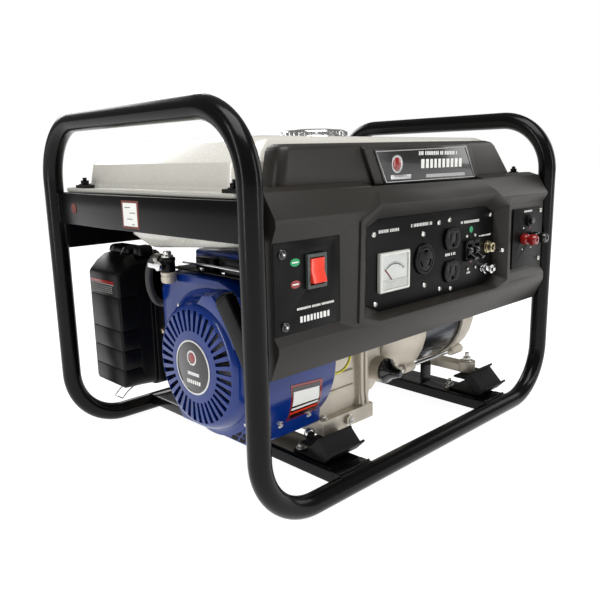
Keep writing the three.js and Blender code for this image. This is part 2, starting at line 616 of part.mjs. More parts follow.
function fuelHose() {
  const { x, y, spigot } = COCK;
  const inlet = [INLET.x, CARB.y - INLET.reach - GAP, INLET.z];
  const route = [[x, y + 17 + GAP, spigot], [x, y + 29, spigot], [x - 1, y + 40, 248], [x - 1, y + 43, 230],
    [x + 3, y + 44, 214], [x + 13, y + 48, 202], [x + 35, y + 58, 196], [-178, 62, 197],
    [inlet[0], 70, 201], inlet];
  add('fuel_hose', roundBar(smoothCurve(route), 4.5, 8, 20), 'rubber');
}

// ---------------------------------------------------------------- engine
const range = (count) => Array.from({ length: count }, (_, i) => i);
const joinAll = (list) => join(list[0], ...list.slice(1));
const alongCrank = (profile, sides = 32) => turned(profile, [0, CRANK_Y, CRANK_Z], [1, 0, 0], sides);

// Places a solid modelled with +Z along the cylinder axis, its origin on the crankshaft axis.
function alongCylinder(manifold) {
  const tilt = THREE.MathUtils.radToDeg(CYL_TILT) - 90;
  return manifold.rotate([tilt, 0, 0]).translate([CYL_X, CRANK_Y, CRANK_Z]);
}

const finStack = (low, step, count, half, deep) => joinAll(range(count).map(
  (i) => box(-half, half, -deep, deep, low + i * step, low + 3 + i * step),
));

function crankcase() {
  const wall = [[-124, 58], [34, 58], [34, 100], [20, 150], [-20, 214], [-84, 214], [-108, 196],
    [-122, 160], [-127, 110], [-128, 72]];
  const coverWall = [[-104, 62], [10, 62], [26, 96], [14, 150], [-24, 208], [-84, 208], [-108, 190],
    [-120, 130], [-118, 84]];
  const rib = [[BASE_Y[0] + 11, 60], [-118, 60], [-118, 176], [-133, 176], [-134, 64]];
  const coverX = -34;           // joint between the crankcase and its end cover
  const solids = [
    prismX(coverWall, coverX - 2, CASE_X[1]),
    box(CASE_X[0], coverX, ...BASE_Y, BASE_Z, 60),
    prismX(rib, -60, -54),
    turned(disc(OIL_NECK_R, 0, 36), OIL_NECK, FRONT, 18),
    turned(disc(7, 0, 9), [-84, BASE_Y[0] + 4, 51], FRONT, 6),
    alongCylinder(box(-48, 48, -48, 48, 40, HEAD_D[0] - GAP)),
    alongCylinder(finStack(88, 8, 5, 58, 55)),
  ];
  const hollows = [
    alongCrank(disc(50, -112, -20), 28),
    alongCrank(disc(JOURNAL_R + 0.5, -140, 12), 20),
    alongCylinder(turned(disc(BORE_R + GAP, 20, 140), [0, 0, 0], [0, 0, 1], 32)),
    box(-118, -46, -112, 20, 66, 110),
    turned(disc(11, 26, 40), OIL_NECK, FRONT, 14),
  ];
  add('crankcase', cut(join(prismX(wall, CASE_X[0], coverX), ...solids), ...hollows), 'cast_alloy');
}

// The spark plug slants into the head from above, on its front side.
function plugPlace(manifold) {
  return alongCylinder(manifold.rotate([52, 0, 0]).translate([8, -22, HEAD_D[0] + 14]));
}

function cylinderHead() {
  const [face, top] = HEAD_D;
  const core = join(box(-44, 44, -44, 44, face, top), finStack(face + 5, 9, 5, 56, 52));
  const portX = CYL_X - 34;
  const solids = [
    turned(disc(15, 0, portX - CARB.x1 - GAP), [portX, CARB.y, CARB.z], [-1, 0, 0], 14),
    turned(disc(15, 34, 74), [CYL_X, EXHAUST.y, EXHAUST.z], [1, 0, 0], 14),
  ];
  const hollows = [
    alongCylinder(turned(disc(30, -1, 8), [0, 0, face], [0, 0, 1])),
    plugPlace(turned(disc(11, 4, 80), [0, 0, 0], [0, 0, 1], 14)),
    plugPlace(turned(disc(4.6, -16, 5), [0, 0, 0], [0, 0, 1], 12)),
  ];
  add('cylinder_head', cut(join(alongCylinder(core), ...solids), ...hollows), 'cast_alloy');

  const plug = [[0, -12], [4.2, -12], [4.2, 4.4], [9, 4.4], [9, 14], [6, 16], [6, 26], [8.5, 27],
    [8.5, 42], [0, 44]];
  add('spark_plug', plugPlace(turned(plug, [0, 0, 0], [0, 0, 1], 14)), 'white');

  const low = top + GAP;
  const cover = lofted([
    ringAtZ(low, -33, 33, -38, 38, 8), ringAtZ(low + 22, -31, 31, -36, 36, 8),
    ringAtZ(low + 29, -24, 24, -28, 28, 8),
  ]);
  add('rocker_cover', alongCylinder(cut(cover, box(-27, 27, -31, 31, low - 1, low + 20))), 'cast_alloy');
}

function pistonAndCrank() {
  const rest = 82;              // wrist pin from the crankshaft axis, half way up the stroke
  const skirt = [[0, rest + 10], [29, rest + 10], [29, rest - 12], [BORE_R, rest - 12],
    [BORE_R, rest + 18], [0, rest + 18]];
  const piston = turned(skirt, [0, 0, 0], [0, 0, 1], 32);
  const pin = turned(disc(8, -30, 30), [0, 0, rest], [1, 0, 0], 12);
  const rod = box(-8, 8, -9, 9, rest - 12, rest + 4);
  add('piston', alongCylinder(join(piston, pin, rod)), 'bright_steel');

  const nose = [[0, -244], [9, -244], [9, -229], [12, -228], [12, -190], [JOURNAL_R, -188],
    [JOURNAL_R, -90], [0, -90]];
  const taper = [[0, -42], [JOURNAL_R, -42], [JOURNAL_R, 12], [12, 44], [0, 44]];
  const webs = [[-100, -84], [-48, -32]].map(([a, b]) => alongCrank(disc(41, a, b), 28));
  const throwPin = alongCylinder(turned(disc(12, -18, 18), [0, 0, HALF_STROKE], [1, 0, 0], 14));
  add('crankshaft', join(...webs, throwPin, alongCrank(nose, 20), alongCrank(taper, 20)), 'dark_steel');
}

function flywheel() {
  const [x0, x1] = FLYWHEEL_X;
  const bore = 12 + GAP;
  const bowl = [[bore, x0 + 12], [84, x0 + 12], [84, x1], [74, x1], [74, x0 + 20], [26, x0 + 20], [26, x1],
    [bore, x1], [bore, x0 + 12]];
  const blades = range(12).map((i) => box(x0, x0 + 13, -1.5, 1.5, 48, 82).rotate([i * 30, 0, 0])
    .translate([0, CRANK_Y, CRANK_Z]));
  add('flywheel', join(alongCrank(bowl, 28), ...blades), 'dark_steel');
}

// Outline of the fan shroud: round above and in front, flat below, squared off at its upper rear
// corner. It is drawn smaller by inset for the inside.
function shroudOutline(inset) {
  const r = SHROUD_R - inset;
  const [rear, low] = [CRANK_Y + r, SHROUD_LOW + inset];
  return [
    ...arcPoints(CRANK_Y, CRANK_Z, r, 97, 224, 12), [-131.5 + inset, low + 4], [-127.5 + inset, low],
    [6 - inset, low], [rear - 6, CRANK_Z - 58], [rear, CRANK_Z - 30], [rear, CRANK_Z + 76],
    [rear - 16, CRANK_Z + r],
  ];
}

function fanShroud() {
  const [x0, x1] = SHROUD_X;
  const skin = 2.5;
  const outer = prismX(shroudOutline(0), x0, x1);
  const inner = prismX(shroudOutline(skin), x0 + skin, x1 + 1);
  add('fan_shroud', cut(outer, inner, alongCrank(disc(74, -260, -200), 28)), 'blue');
}

// The recoil cover is a slotted dome on a flat rim, with an arm at its upper front for the grip.
function recoilStarter() {
  const base = SHROUD_X[0] - GAP;
  const at = [base, CRANK_Y, CRANK_Z];
  const dome = [[0, 0], [87, 0], [87, 3], [80, 4], [75, 17], [67, 25], [30, 27], [0, 28]];
  const room = [[0, 24], [64, 21], [72, 14], [77, -1], [0, -1]];
  const arm = [[-45, 205], [-74, 235], [-94, 237], [-107, 226], [-133, 183], [-126, 140], [-90, 130]];
  const core = arm.map(([y, z]) => [-95 + 0.86 * (y + 95), 188 + 0.86 * (z - 188)]);
  const slots = range(14).map((i) => box(base - 40, base - 10, -3, 3, 42, 64).rotate([(i * 360) / 14, 0, 0])
    .translate([0, CRANK_Y, CRANK_Z]));
  const cover = cut(
    join(turned(dome, at, [-1, 0, 0], 28), prismX(arm, base - 21, base)),
    turned([...room].reverse(), at, [-1, 0, 0], 28), prismX(core, base - 18, base + 1), ...slots,
  );
  const boss = turned(disc(8, 10, 25), at, [-1, 0, 0], 14);
  add('recoil_cover', join(cover, boss), 'blue');

  const section = (z, x, y, r) => roundRect(-x, x, -y, y, r, 2).map(([px, py]) => [px, py, z]);
  const bar = lofted([
    section(-42, 7, 11, 4), section(-36, 8, 13, 4), section(34, 8, 12, 4), section(40, 6, 9, 4),
  ]);
  const grip = bar.rotate([GRIP.lean, 0, 0]).translate([GRIP.x, GRIP.y, GRIP.z]);
  add('starter_grip', grip, 'matte_black');
}

function carburettor() {
  const { y, z, x0, x1 } = CARB;
  const length = x1 - x0;
  const barrel = [[0, 0], [20, 0], [20, 4], [14, 6], [14, 52], [20, 55], [20, length], [0, length]];
  const bowl = turned(disc(17, -44, -8), [(x0 + x1) / 2, y, z], [0, 0, 1], 18);
  const inlet = turned(disc(4, 12, INLET.reach), [INLET.x, y, INLET.z], FRONT, 10);
  const throat = turned(disc(9, -4, length + 4), [x0, y, z], [1, 0, 0], 14);
  const body = join(turned(barrel, [x0, y, z], [1, 0, 0], 18), bowl, inlet);
  add('carburettor', cut(body, throat), 'cast_alloy');

  const pivot = [x0 + 11, y - 14.5, z];
  const lever = join(
    turned(disc(5, 0, 2.5), pivot, FRONT, 12),
    box(pivot[0] - 2.5, pivot[0] + 2.5, y - 17, y - 14.5, z, z + 26),
    box(pivot[0] - 2.5, pivot[0] + 2.5, y - 24, y - 14.5, z + 22, z + 26),
  );
  add('choke_lever', lever, 'bright_steel');
}

function airCleaner() {
  const { x, rim, y0, y1, z0, z1 } = AIR_BOX;
  const lid = lofted([
    ringAtX(x, y0 + 2, y1 - 2, z0, z1 - 23, 5), ringAtX(x + 3, y0, y1, z0 - 2, z1 - 20, 6),
    ringAtX(x + 22, y0 - 1, y1 + 1, z0 - 4, z1 - 2, 14), ringAtX(rim, y0 - 3, y1 + 3, z0 - 6, z1, 14),
  ]);
  const room = lofted([
    ringAtX(x + 4, y0 + 5, y1 - 5, z0 + 4, z1 - 25, 4), ringAtX(x + 22, y0 + 3, y1 - 3, z0 + 2, z1 - 7, 10),
    ringAtX(rim + 1, y0 + 2, y1 - 2, z0, z1 - 5, 10),
  ]);
  add('air_cleaner_cover', cut(lid, room), 'matte_black');

  const [front, back] = [rim + GAP, CARB.x0 - GAP];
  const slab = (...outline) => lofted([front, back].map((px) => ringAtX(px, ...outline)));
  const plate = slab(y0 - 5, y1 + 5, z0 - 8, z1 + 2, 15);
  const duct = slab(CARB.y - 20, y0 + 5, CARB.z - 26, CARB.z + 36, 12);
  const snout = turned(disc(9, -40, 10), [CARB.x0, CARB.y, CARB.z], [1, 0, 0], 14);
  const dish = box(front - 1, back - 3, CARB.y - 12, y1 - 2, CARB.z - 20, z1 - 10);
  add('air_cleaner_base', cut(join(plate, duct), snout, dish), 'matte_black');
}

function muffler() {
  const [x0, x1, wall] = [24, 230, 3];
  const can = (inset) => lofted([
    ringAtX(x0 + inset, 84 + inset, 168 - inset, 138 + inset, 246 - inset, 22),
    ringAtX(x0 + 6 + inset / 2, 78 + inset, 174 - inset, 132 + inset, 252 - inset, 26),
    ringAtX(x1 - 6 - inset / 2, 78 + inset, 174 - inset, 132 + inset, 252 - inset, 26),
    ringAtX(x1 - inset, 84 + inset, 168 - inset, 138 + inset, 246 - inset, 22),
  ]);
  const tail = [x1 - 2, 150, 160];
  const pipe = turned(disc(12, 0, 18), tail, [1, 0, 0], 14);
  const bore = turned(disc(9, -12, 22), tail, [1, 0, 0], 14);
  const inlet = turned(disc(15, 8 + GAP, 28), [0, EXHAUST.y, EXHAUST.z], [1, 0, 0], 14);
  add('muffler', cut(join(can(0), pipe, inlet), can(wall), bore), 'dark_steel');
}

function oilCapAndSensorLead() {
  const cap = [[0, -9], [10, -9], [10, GAP], [16, GAP], [16.5, 4], [13, 7], [6, 22], [4, 26], [0, 27]];
  const [x, y, z] = OIL_NECK;
  add('oil_filler_cap', turned(cap, [x, y - 36, z], FRONT), 'matte_black');

  const route = [[-122, -138, 124], [-116, -141, 121], [-106, -143, 121], [-96, -144, 126],
    [-88, -143, 135], [-82, -140, 148], [-78, -137, 165], [-76, -135, 190]];
  add('oil_sensor_lead', roundBar(smoothCurve(route), 1.3, 8, 14), 'yellow');
}

// ---------------------------------------------------------------- alternator
// Lugs stand on four diagonals round the alternator and carry its through bolts.
const lugs = (a, b) => [45, 135, 225, 315].map((angle) => {
  const turn = THREE.MathUtils.degToRad(angle);
  const middle = [0, CRANK_Y + BELL_R * Math.cos(turn), CRANK_Z + BELL_R * Math.sin(turn)];
  return turned(disc(7, a, b), middle, [1, 0, 0], 10);
});

function alternator() {
  const [s0, s1] = STATOR_X;
  const [b0, b1] = BELL_X;
  const funnel = [[58, GAP], [70, 18], [80, 50], [81, s0 - GAP], [87, s0 - GAP], [86, 50], [76, 18],
    [66, GAP], [58, GAP]];
  const clearOfNeck = turned(disc(OIL_NECK_R + GAP, -20, 60), OIL_NECK, FRONT, 18);
  const adaptor = join(alongCrank([...funnel].reverse()), ...lugs(s0 - 22, s0 - GAP));
  add('alternator_adaptor', cut(adaptor, clearOfNeck), 'cast_alloy');

  add('stator', alongCrank(ring(57, STATOR_R, s0, s1), 36), 'dark_steel');

  const shell = [[17.5, b0 + 34], [78, b0 + 28], [81, b0], [BELL_R - 3, b0], [82, b1 - 12], [70, b1],
    [17.5, b1], [17.5, b0 + 34]];
  const footX = b0 + 27;
  const reach = [CRANK_Y - FOOT_REACH, CRANK_Y + FOOT_REACH];
  const beam = box(footX - 11, footX + 11, reach[0], reach[1], FOOT_Z, FOOT_Z + 12);
  const post = box(footX - 7, footX + 7, CRANK_Y - 24, CRANK_Y + 24, FOOT_Z, CRANK_Z - 63);
  const pads = reach.map((y) => turned(disc(13, FOOT_Z, FOOT_Z + 16), [footX, y, 0], [0, 0, 1], 18));
  const bell = join(alongCrank(shell), ...lugs(b0, b0 + 26), beam, post, ...pads);
  add('alternator_end_bell', bell, 'cast_alloy');

  const cover = [[0, b1 + 20], [0, b1 + 18], [60, b1 + 16], [66, b1 + GAP], [69, b1 + GAP],
    [64, b1 + 18], [0, b1 + 20]];
  add('alternator_end_cover', alongCrank(cover), 'matte_black');

  const rotor = [[0, 44 + GAP], [14, 44 + GAP], [16, 56], [20, 62], [55, s0 + 4], [55, s1 - 4],
    [24, s1 + 8], [14, s1 + 12], [14, b1 + 6], [0, b1 + 6]];
  add('rotor', alongCrank(rotor, 28), 'dark_steel');
}

frameTubes();
tankRails();
crossMembers();
mounts();
controlFascia();
tankCowl();
panelPlate();
voltmeter();
outlets();
circuitBreakers();
toggleSwitch();
groundTerminal();
engineSwitch();
dcPanel();
fuelTank();
fuelCock();
fuelHose();
crankcase();
cylinderHead();
pistonAndCrank();
flywheel();
fanShroud();
recoilStarter();
carburettor();
airCleaner();
muffler();
oilCapAndSensorLead();
alternator();
generator.position.y = CENTRE_Y;

export default generator;
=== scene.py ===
"""Looks of the portable generator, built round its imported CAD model.

Lengths are millimetres in the part's own design axes, where the frame tubes lie evenly about Y = 0.
Every mesh is turned into metres and moved back by CENTRE_Y when its object is made.
"""
import json
import random
from math import cos, pi, radians, sin, sqrt, tan

import bmesh
import bpy
from mathutils import Matrix, Vector

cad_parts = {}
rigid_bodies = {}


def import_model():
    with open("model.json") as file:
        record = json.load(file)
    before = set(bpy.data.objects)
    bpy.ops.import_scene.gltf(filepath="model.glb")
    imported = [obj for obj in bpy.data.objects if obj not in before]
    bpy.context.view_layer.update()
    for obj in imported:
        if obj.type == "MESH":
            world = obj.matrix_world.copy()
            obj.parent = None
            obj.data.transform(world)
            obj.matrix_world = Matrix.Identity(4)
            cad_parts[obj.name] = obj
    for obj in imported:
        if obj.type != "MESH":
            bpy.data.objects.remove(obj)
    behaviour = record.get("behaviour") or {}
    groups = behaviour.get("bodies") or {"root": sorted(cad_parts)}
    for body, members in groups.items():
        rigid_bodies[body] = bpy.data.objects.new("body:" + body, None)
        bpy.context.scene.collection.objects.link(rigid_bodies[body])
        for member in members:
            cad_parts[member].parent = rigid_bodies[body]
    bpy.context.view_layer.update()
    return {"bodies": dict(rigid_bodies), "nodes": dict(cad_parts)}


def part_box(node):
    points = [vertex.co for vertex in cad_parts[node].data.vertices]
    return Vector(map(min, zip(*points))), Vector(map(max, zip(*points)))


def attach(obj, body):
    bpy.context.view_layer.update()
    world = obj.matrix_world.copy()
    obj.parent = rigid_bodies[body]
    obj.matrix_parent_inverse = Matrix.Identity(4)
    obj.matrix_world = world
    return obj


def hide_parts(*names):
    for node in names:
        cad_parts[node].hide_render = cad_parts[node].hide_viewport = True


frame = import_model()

# ---- driving dimensions
MM = 0.001
CENTRE_Y = 9.1
TUBE_R = 12.3
FRAME_X, FRAME_Y = 288, 202
HANDLE_Z, SPLIT_Z, BEND_R = 426.7, 322, 75
CRANK = (0, -62, 147)
PLATE_Y, POCKET_Y = -197.0, -208.4
OUTLET_Z = (273.5, 231.5)
CORNERS = (45, 135, 225, 315)
RAIL_TOP, PAD_X = 345.2, 269.5
PRINT_DEPTH = 0.25
SHROUD_X, SHROUD_R = -236, 98
RECOIL_X, BADGE_X = -236.4, -264.3
COCK_X, COCK_Y = -246.5, 4
FRONT, BACK, LEFT, RIGHT, UP = (0, -1, 0), (0, 1, 0), (-1, 0, 0), (1, 0, 0), (0, 0, 1)


def span(node):
    """Lowest and highest corners of a CAD node, in millimetres and design axes."""
    low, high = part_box(node)
    shift = Vector((0, CENTRE_Y, 0))
    return low / MM - shift, high / MM - shift


def middle_of(node):
    """The middle of a CAD node's box, in the same axes."""
    low, high = span(node)
    return (low + high) / 2


# ---- materials
ROUGH_SPREAD = 0.08


def linear(value):
    """One part of a screen colour, from 0 to 255, as the linear light that a shader takes."""
    value /= 255
    return value / 12.92 if value <= 0.04045 else ((value + 0.055) / 1.055) ** 2.4


def fill(node, **sockets):
    """Sets a node's input sockets by their names, and gives the node back."""
    for socket, value in sockets.items():
        node.inputs[socket.replace("_", " ")].default_value = value
    return node


def principled(name, **sockets):
    """A new material with its node tree and its principled shader."""
    material = bpy.data.materials.new(name)
    material.use_nodes = True
    tree = material.node_tree
    return material, tree, fill(tree.nodes["Principled BSDF"], **sockets)


def finish(name, colour, rough, metal=0.0, coat=0.0, *, mottle, grain, scale=900.0, **sockets):
    """A principled material whose colour, roughness and bump vary as the real surface does.

    scale is the fineness of the surface grain, in cells per metre, and mottle is how much the colour
    drifts over a few centimetres."""
    material, tree, shader = principled(name, Metallic=metal, Coat_Weight=coat, Coat_Roughness=0.06,
        **sockets)
    place = tree.nodes.new("ShaderNodeTexCoord")
    broad = fill(tree.nodes.new("ShaderNodeTexNoise"), Scale=26.0, Detail=5.0)
    fine = fill(tree.nodes.new("ShaderNodeTexNoise"), Scale=scale, Detail=3.0)
    for noise in (broad, fine):
        tree.links.new(place.outputs["Object"], noise.inputs["Vector"])

    ramp = tree.nodes.new("ShaderNodeValToRGB")
    for stop, position, drift in zip(ramp.color_ramp.elements, (0.3, 0.7), (1 - mottle, 1 + mottle)):
        stop.position = position
        stop.color = [min(1, linear(part) * drift) for part in colour] + [1]
    tree.links.new(broad.outputs["Fac"], ramp.inputs["Fac"])
    tree.links.new(ramp.outputs["Color"], shader.inputs["Base Color"])

    spread = fill(tree.nodes.new("ShaderNodeMapRange"), To_Min=max(0.02, rough - ROUGH_SPREAD),
        To_Max=min(1.0, rough + ROUGH_SPREAD))
    tree.links.new(fine.outputs["Fac"], spread.inputs["Value"])
    tree.links.new(spread.outputs["Result"], shader.inputs["Roughness"])

    bump = fill(tree.nodes.new("ShaderNodeBump"), Strength=grain, Distance=0.0006)
    tree.links.new(fine.outputs["Fac"], bump.inputs["Height"])
    tree.links.new(bump.outputs["Normal"], shader.inputs["Normal"])
    return material


BLACK_ENAMEL = finish("black_enamel", (8, 8, 9), 0.2, mottle=0.1, grain=0.03, scale=420,
    Specular_IOR_Level=0.17)
FASCIA = finish("fascia_plastic", (38, 35, 32), 0.36, mottle=0.05, grain=0.16, scale=2600,
    Specular_IOR_Level=0.3)
PANEL = finish("panel_enamel", (10, 10, 10), 0.36, mottle=0.06, grain=0.06, scale=2400,
    Specular_IOR_Level=0.12)
MOULDED = finish("moulded_black", (9, 9, 9), 0.3, mottle=0.08, grain=0.08, scale=1500,
    Specular_IOR_Level=0.16)
GLOSS_BLACK = finish("gloss_black", (12, 12, 12), 0.2, coat=0.4, mottle=0.05, grain=0.02)
RUBBER = finish("rubber", (11, 11, 11), 0.6, mottle=0.15, grain=0.2, scale=1700,
    Specular_IOR_Level=0.25)
HOSE = finish("hose_rubber", (38, 38, 40), 0.5, mottle=0.1, grain=0.12, scale=1300)
BLUE = finish("blue_enamel", (0, 41, 118), 0.22, coat=0.25, mottle=0.1, grain=0.02, scale=700,
    Specular_IOR_Level=0.35)
IVORY = finish("ivory_enamel", (210, 208, 199), 0.26, coat=0.6, mottle=0.015, grain=0.004, scale=500)
CAST = finish("cast_alloy", (198, 190, 176), 0.5, metal=0.55, mottle=0.1, grain=0.22, scale=1900)
CHROME = finish("chrome", (222, 222, 222), 0.14, metal=1.0, mottle=0.03, grain=0.02)
ZINC = finish("zinc_plate", (205, 203, 198), 0.28, metal=1.0, mottle=0.08, grain=0.06, scale=1600)
BRASS = finish("brass", (214, 203, 172), 0.26, metal=1.0, mottle=0.08, grain=0.05)
LAMINATION = finish("stator_steel", (66, 68, 74), 0.24, metal=0.9, coat=0.3, mottle=0.12, grain=0.08)
STEEL = finish("machined_steel", (150, 150, 152), 0.34, metal=1.0, mottle=0.08, grain=0.1, scale=2200)
MUFFLER = finish("muffler_black", (44, 43, 42), 0.5, metal=0.4, mottle=0.15, grain=0.2, scale=1500)
RED = finish("signal_red", (232, 52, 22), 0.3, coat=0.3, mottle=0.05, grain=0.03)
DEEP_RED = finish("terminal_red", (134, 16, 13), 0.22, coat=0.5, mottle=0.08, grain=0.03)
GREEN = finish("mark_green", (20, 150, 92), 0.35, mottle=0.05, grain=0.02)
WHITE = finish("print_white", (236, 236, 232), 0.42, mottle=0.02, grain=0.02)
SILVER = finish("print_silver", (200, 200, 200), 0.25, metal=0.8, mottle=0.03, grain=0.02)
YELLOW = finish("lead_yellow", (226, 218, 40), 0.42, mottle=0.06, grain=0.06)
PORCELAIN = finish("porcelain", (238, 236, 230), 0.2, coat=0.8, mottle=0.02, grain=0.02)
LABEL_BLACK = finish("label_black", (20, 19, 18), 0.24, coat=0.5, mottle=0.04, grain=0.01)
DIAL = finish("dial_card", (244, 245, 241), 0.5, mottle=0.02, grain=0.03)
BEZEL = finish("switch_bezel", (62, 70, 68), 0.4, mottle=0.05, grain=0.06)
SOFT_GREY = finish("print_grey", (120, 120, 118), 0.5, mottle=0.1, grain=0.02)
FADED = finish("print_faded", (112, 48, 36), 0.5, mottle=0.2, grain=0.02)
SMOKE = finish("meter_bezel", (222, 222, 216), 0.2, coat=0.6, mottle=0.04, grain=0.02)
WINDOW = principled("meter_window", Base_Color=(0.96, 0.97, 0.97, 1), Transmission_Weight=1.0,
    Roughness=0.03, IOR=1.2)[0]


# ---- mesh tools
def axis_frame(direction):
    """Two directions square to an axis, and the axis."""
    along = Vector(direction).normalized()
    side = Vector((0, 0, 1)) if abs(along.z) < 0.9 else Vector((1, 0, 0))
    u = side.cross(along).normalized()
    return u, along.cross(u), along


def skin(bm, rings, closed=False):
    """Joins rings of equally many points with quads. closed joins the last ring to the first."""
    loops = [[bm.verts.new(p) for p in ring] for ring in rings]
    count = len(loops[0])
    pairs = zip(loops, loops[1:] + loops[:1]) if closed else zip(loops, loops[1:])
    for a, b in pairs:
        for i in range(count):
            j = (i + 1) % count
            bm.faces.new((a[i], a[j], b[j], b[i]))
    if not closed:
        bm.faces.new(loops[0])
        bm.faces.new(loops[-1])


def lathe(bm, profile, origin, direction, sides):
    """A turned piece. The profile holds (radius, distance), from axis to axis or closing on itself."""
    u, v, along = axis_frame(direction)
    start = Vector(origin)
    loop = profile[0] == profile[-1]
    points = profile[:-1] if loop else profile
    rings = []
    for radius, distance in points:
        middle = start + along * distance
        if radius < 1e-6:
            rings.append([bm.verts.new(middle)])
            continue
        rings.append([bm.verts.new(middle + (u * cos(t) + v * sin(t)) * radius) for t in around(sides)])
    pairs = list(zip(rings, rings[1:] + rings[:1])) if loop else list(zip(rings, rings[1:]))
    for a, b in pairs:
        for i in range(sides):
            j = (i + 1) % sides
            corners = [a[i % len(a)], a[j % len(a)], b[j % len(b)], b[i % len(b)]]
            unique = list(dict.fromkeys(corners))
            if len(unique) > 2:
                bm.faces.new(unique)


def disc(bm, radius, a, b, origin, direction, sides):
    lathe(bm, [(0, a), (radius, a), (radius, b), (0, b)], origin, direction, sides)


def prism(bm, outline, axis, a, b):
    """An outline in the two other axes, in XYZ order, between a and b along the axis."""
    def point(pair, depth):
        values = list(pair)
        values.insert("XYZ".index(axis), depth)
        return Vector(values)
    skin(bm, [[point(p, a) for p in outline], [point(p, b) for p in outline]])


def box(bm, x0, x1, y0, y1, z0, z1):
    prism(bm, [(x0, y0), (x1, y0), (x1, y1), (x0, y1)], "Z", z0, z1)


def arc(cx, cy, radius, start, end, steps):
    turns = [radians(start + (end - start) * i / steps) for i in range(steps + 1)]
    return [(cx + radius * cos(t), cy + radius * sin(t)) for t in turns]


def made(shape, *values):
    """A new mesh that holds one shape."""
    bm = bmesh.new()
    shape(bm, *values)
    return bm


def around(count):
    """Evenly spaced angles of one whole turn."""
    return [2 * pi * k / count for k in range(count)]


def round_rect(u0, u1, v0, v1, r, steps):
    return (arc(u1 - r, v0 + r, r, -90, 0, steps) + arc(u1 - r, v1 - r, r, 0, 90, steps)
        + arc(u0 + r, v1 - r, r, 90, 180, steps) + arc(u0 + r, v0 + r, r, 180, 270, steps))


def ring_z(z, x0, x1, y0, y1, r, steps=6):
    return [Vector((x, y, z)) for x, y in round_rect(x0, x1, y0, y1, r, steps)]


def ring_x(x, y0, y1, z0, z1, r):
    return [Vector((x, y, z)) for y, z in round_rect(y0, y1, z0, z1, r, 6)]


def ring_y(y, x0, x1, z0, z1, r):
    return [Vector((x, y, z)) for x, z in round_rect(x0, x1, z0, z1, r, 6)]


def rounded(corners, radius, steps):
    """A path of straight legs whose corners are rounded to one radius."""
    at = [Vector(c) for c in corners]
    path = [at[0]]
    for before, corner, after in zip(at, at[1:], at[2:]):
        into = (corner - before).normalized()
        out = (after - corner).normalized()
        turn = into.angle(out)
        start = corner - into * radius * tan(turn / 2)
        inward = (out - into * into.dot(out)).normalized()
        for k in range(steps + 1):
            angle = turn * k / steps
            path.append(start + into * radius * sin(angle) + inward * radius * (1 - cos(angle)))
    return path + [at[-1]]


def smooth_path(points, steps):
    """A Catmull-Rom curve through the points."""
    at = [Vector(p) for p in points]
    at = [2 * at[0] - at[1]] + at + [2 * at[-1] - at[-2]]
    path = []
    for a, b, c, d in zip(at, at[1:], at[2:], at[3:]):
        for k in range(steps):
            t = k / steps
            square, cube = 2 * a - 5 * b + 4 * c - d, 3 * b - 3 * c + d - a
            path.append(0.5 * (2 * b + (c - a) * t + square * t * t + cube * t ** 3))
    return path + [at[-2]]


def sweep(bm, path, radius, sides):
    """A round bar along a path. radius is a number or a function of the share of the path run."""
    path = [Vector(p) for p in path]
    tangents = [(b - a).normalized() for a, b in zip([path[0]] + path, path[1:] + [path[-1]])]
    tangents[0] = (path[1] - path[0]).normalized()
    tangents = [(t + (path[min(i + 1, len(path) - 1)] - path[i])).normalized()
        if i + 1 < len(path) else t for i, t in enumerate(tangents)]
    u = axis_frame(tangents[0])[0]
    rings = []
    for i, (point, along) in enumerate(zip(path, tangents)):
        u = (u - along * u.dot(along)).normalized()
        v = along.cross(u)
        size = radius(i / (len(path) - 1)) if callable(radius) else radius
        rings.append([point + (u * cos(t) + v * sin(t)) * size for t in around(sides)])
    skin(bm, rings)


def hexagon(bm, across, a, b, origin, direction, turn=0.0):
    u, v, along = axis_frame(direction)
    radius = across / sqrt(3)
    turns = [radians(60 * k + turn) for k in range(6)]
    rings = [[Vector(origin) + along * d + (u * cos(t) + v * sin(t)) * radius for t in turns]
        for d in (a, b)]
    skin(bm, rings)


def settle(obj):
    """Turns the object's modifiers into plain mesh."""
    bpy.context.view_layer.update()
    evaluated = obj.evaluated_get(bpy.context.evaluated_depsgraph_get())
    mesh = bpy.data.meshes.new_from_object(evaluated)
    obj.modifiers.clear()
    obj.data = mesh


def bevelled(obj, width, segments):
    """Rounds the edges that turn by more than 30 degrees."""
    edge = obj.modifiers.new("edges", "BEVEL")
    edge.width = width * MM
    edge.segments = segments
    edge.limit_method = "ANGLE"
    edge.angle_limit = radians(30)
    edge.miter_outer = "MITER_ARC"
    settle(obj)


def new_object(name, bm):
    """An object of the working mesh, which is used up."""
    mesh = bpy.data.meshes.new(name)
    bm.to_mesh(mesh)
    bm.free()
    obj = bpy.data.objects.new(name, mesh)
    bpy.context.scene.collection.objects.link(obj)
    return obj


def from_design(name, bm):
    """An object of a closed mesh that is in millimetres and design axes."""
    bmesh.ops.recalc_face_normals(bm, faces=bm.faces)
    obj = new_object(name, bm)
    for vertex in obj.data.vertices:
        vertex.co = (vertex.co + Vector((0, CENTRE_Y, 0))) * MM
    return obj


def register(obj, material, replaces, bevel, segments, angle):
    """Rounds and shades an object, and puts it on the body named like the node that it replaces, or else
    on the frame.
    """
    if bevel:
        bevelled(obj, bevel, segments)
    obj.data.shade_smooth()
    obj.data.set_sharp_from_angle(angle=radians(angle))
    obj.data.materials.clear()
    obj.data.materials.append(material)
    if replaces:
        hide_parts(replaces)
    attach(obj, replaces if replaces in frame["bodies"] else "frame")


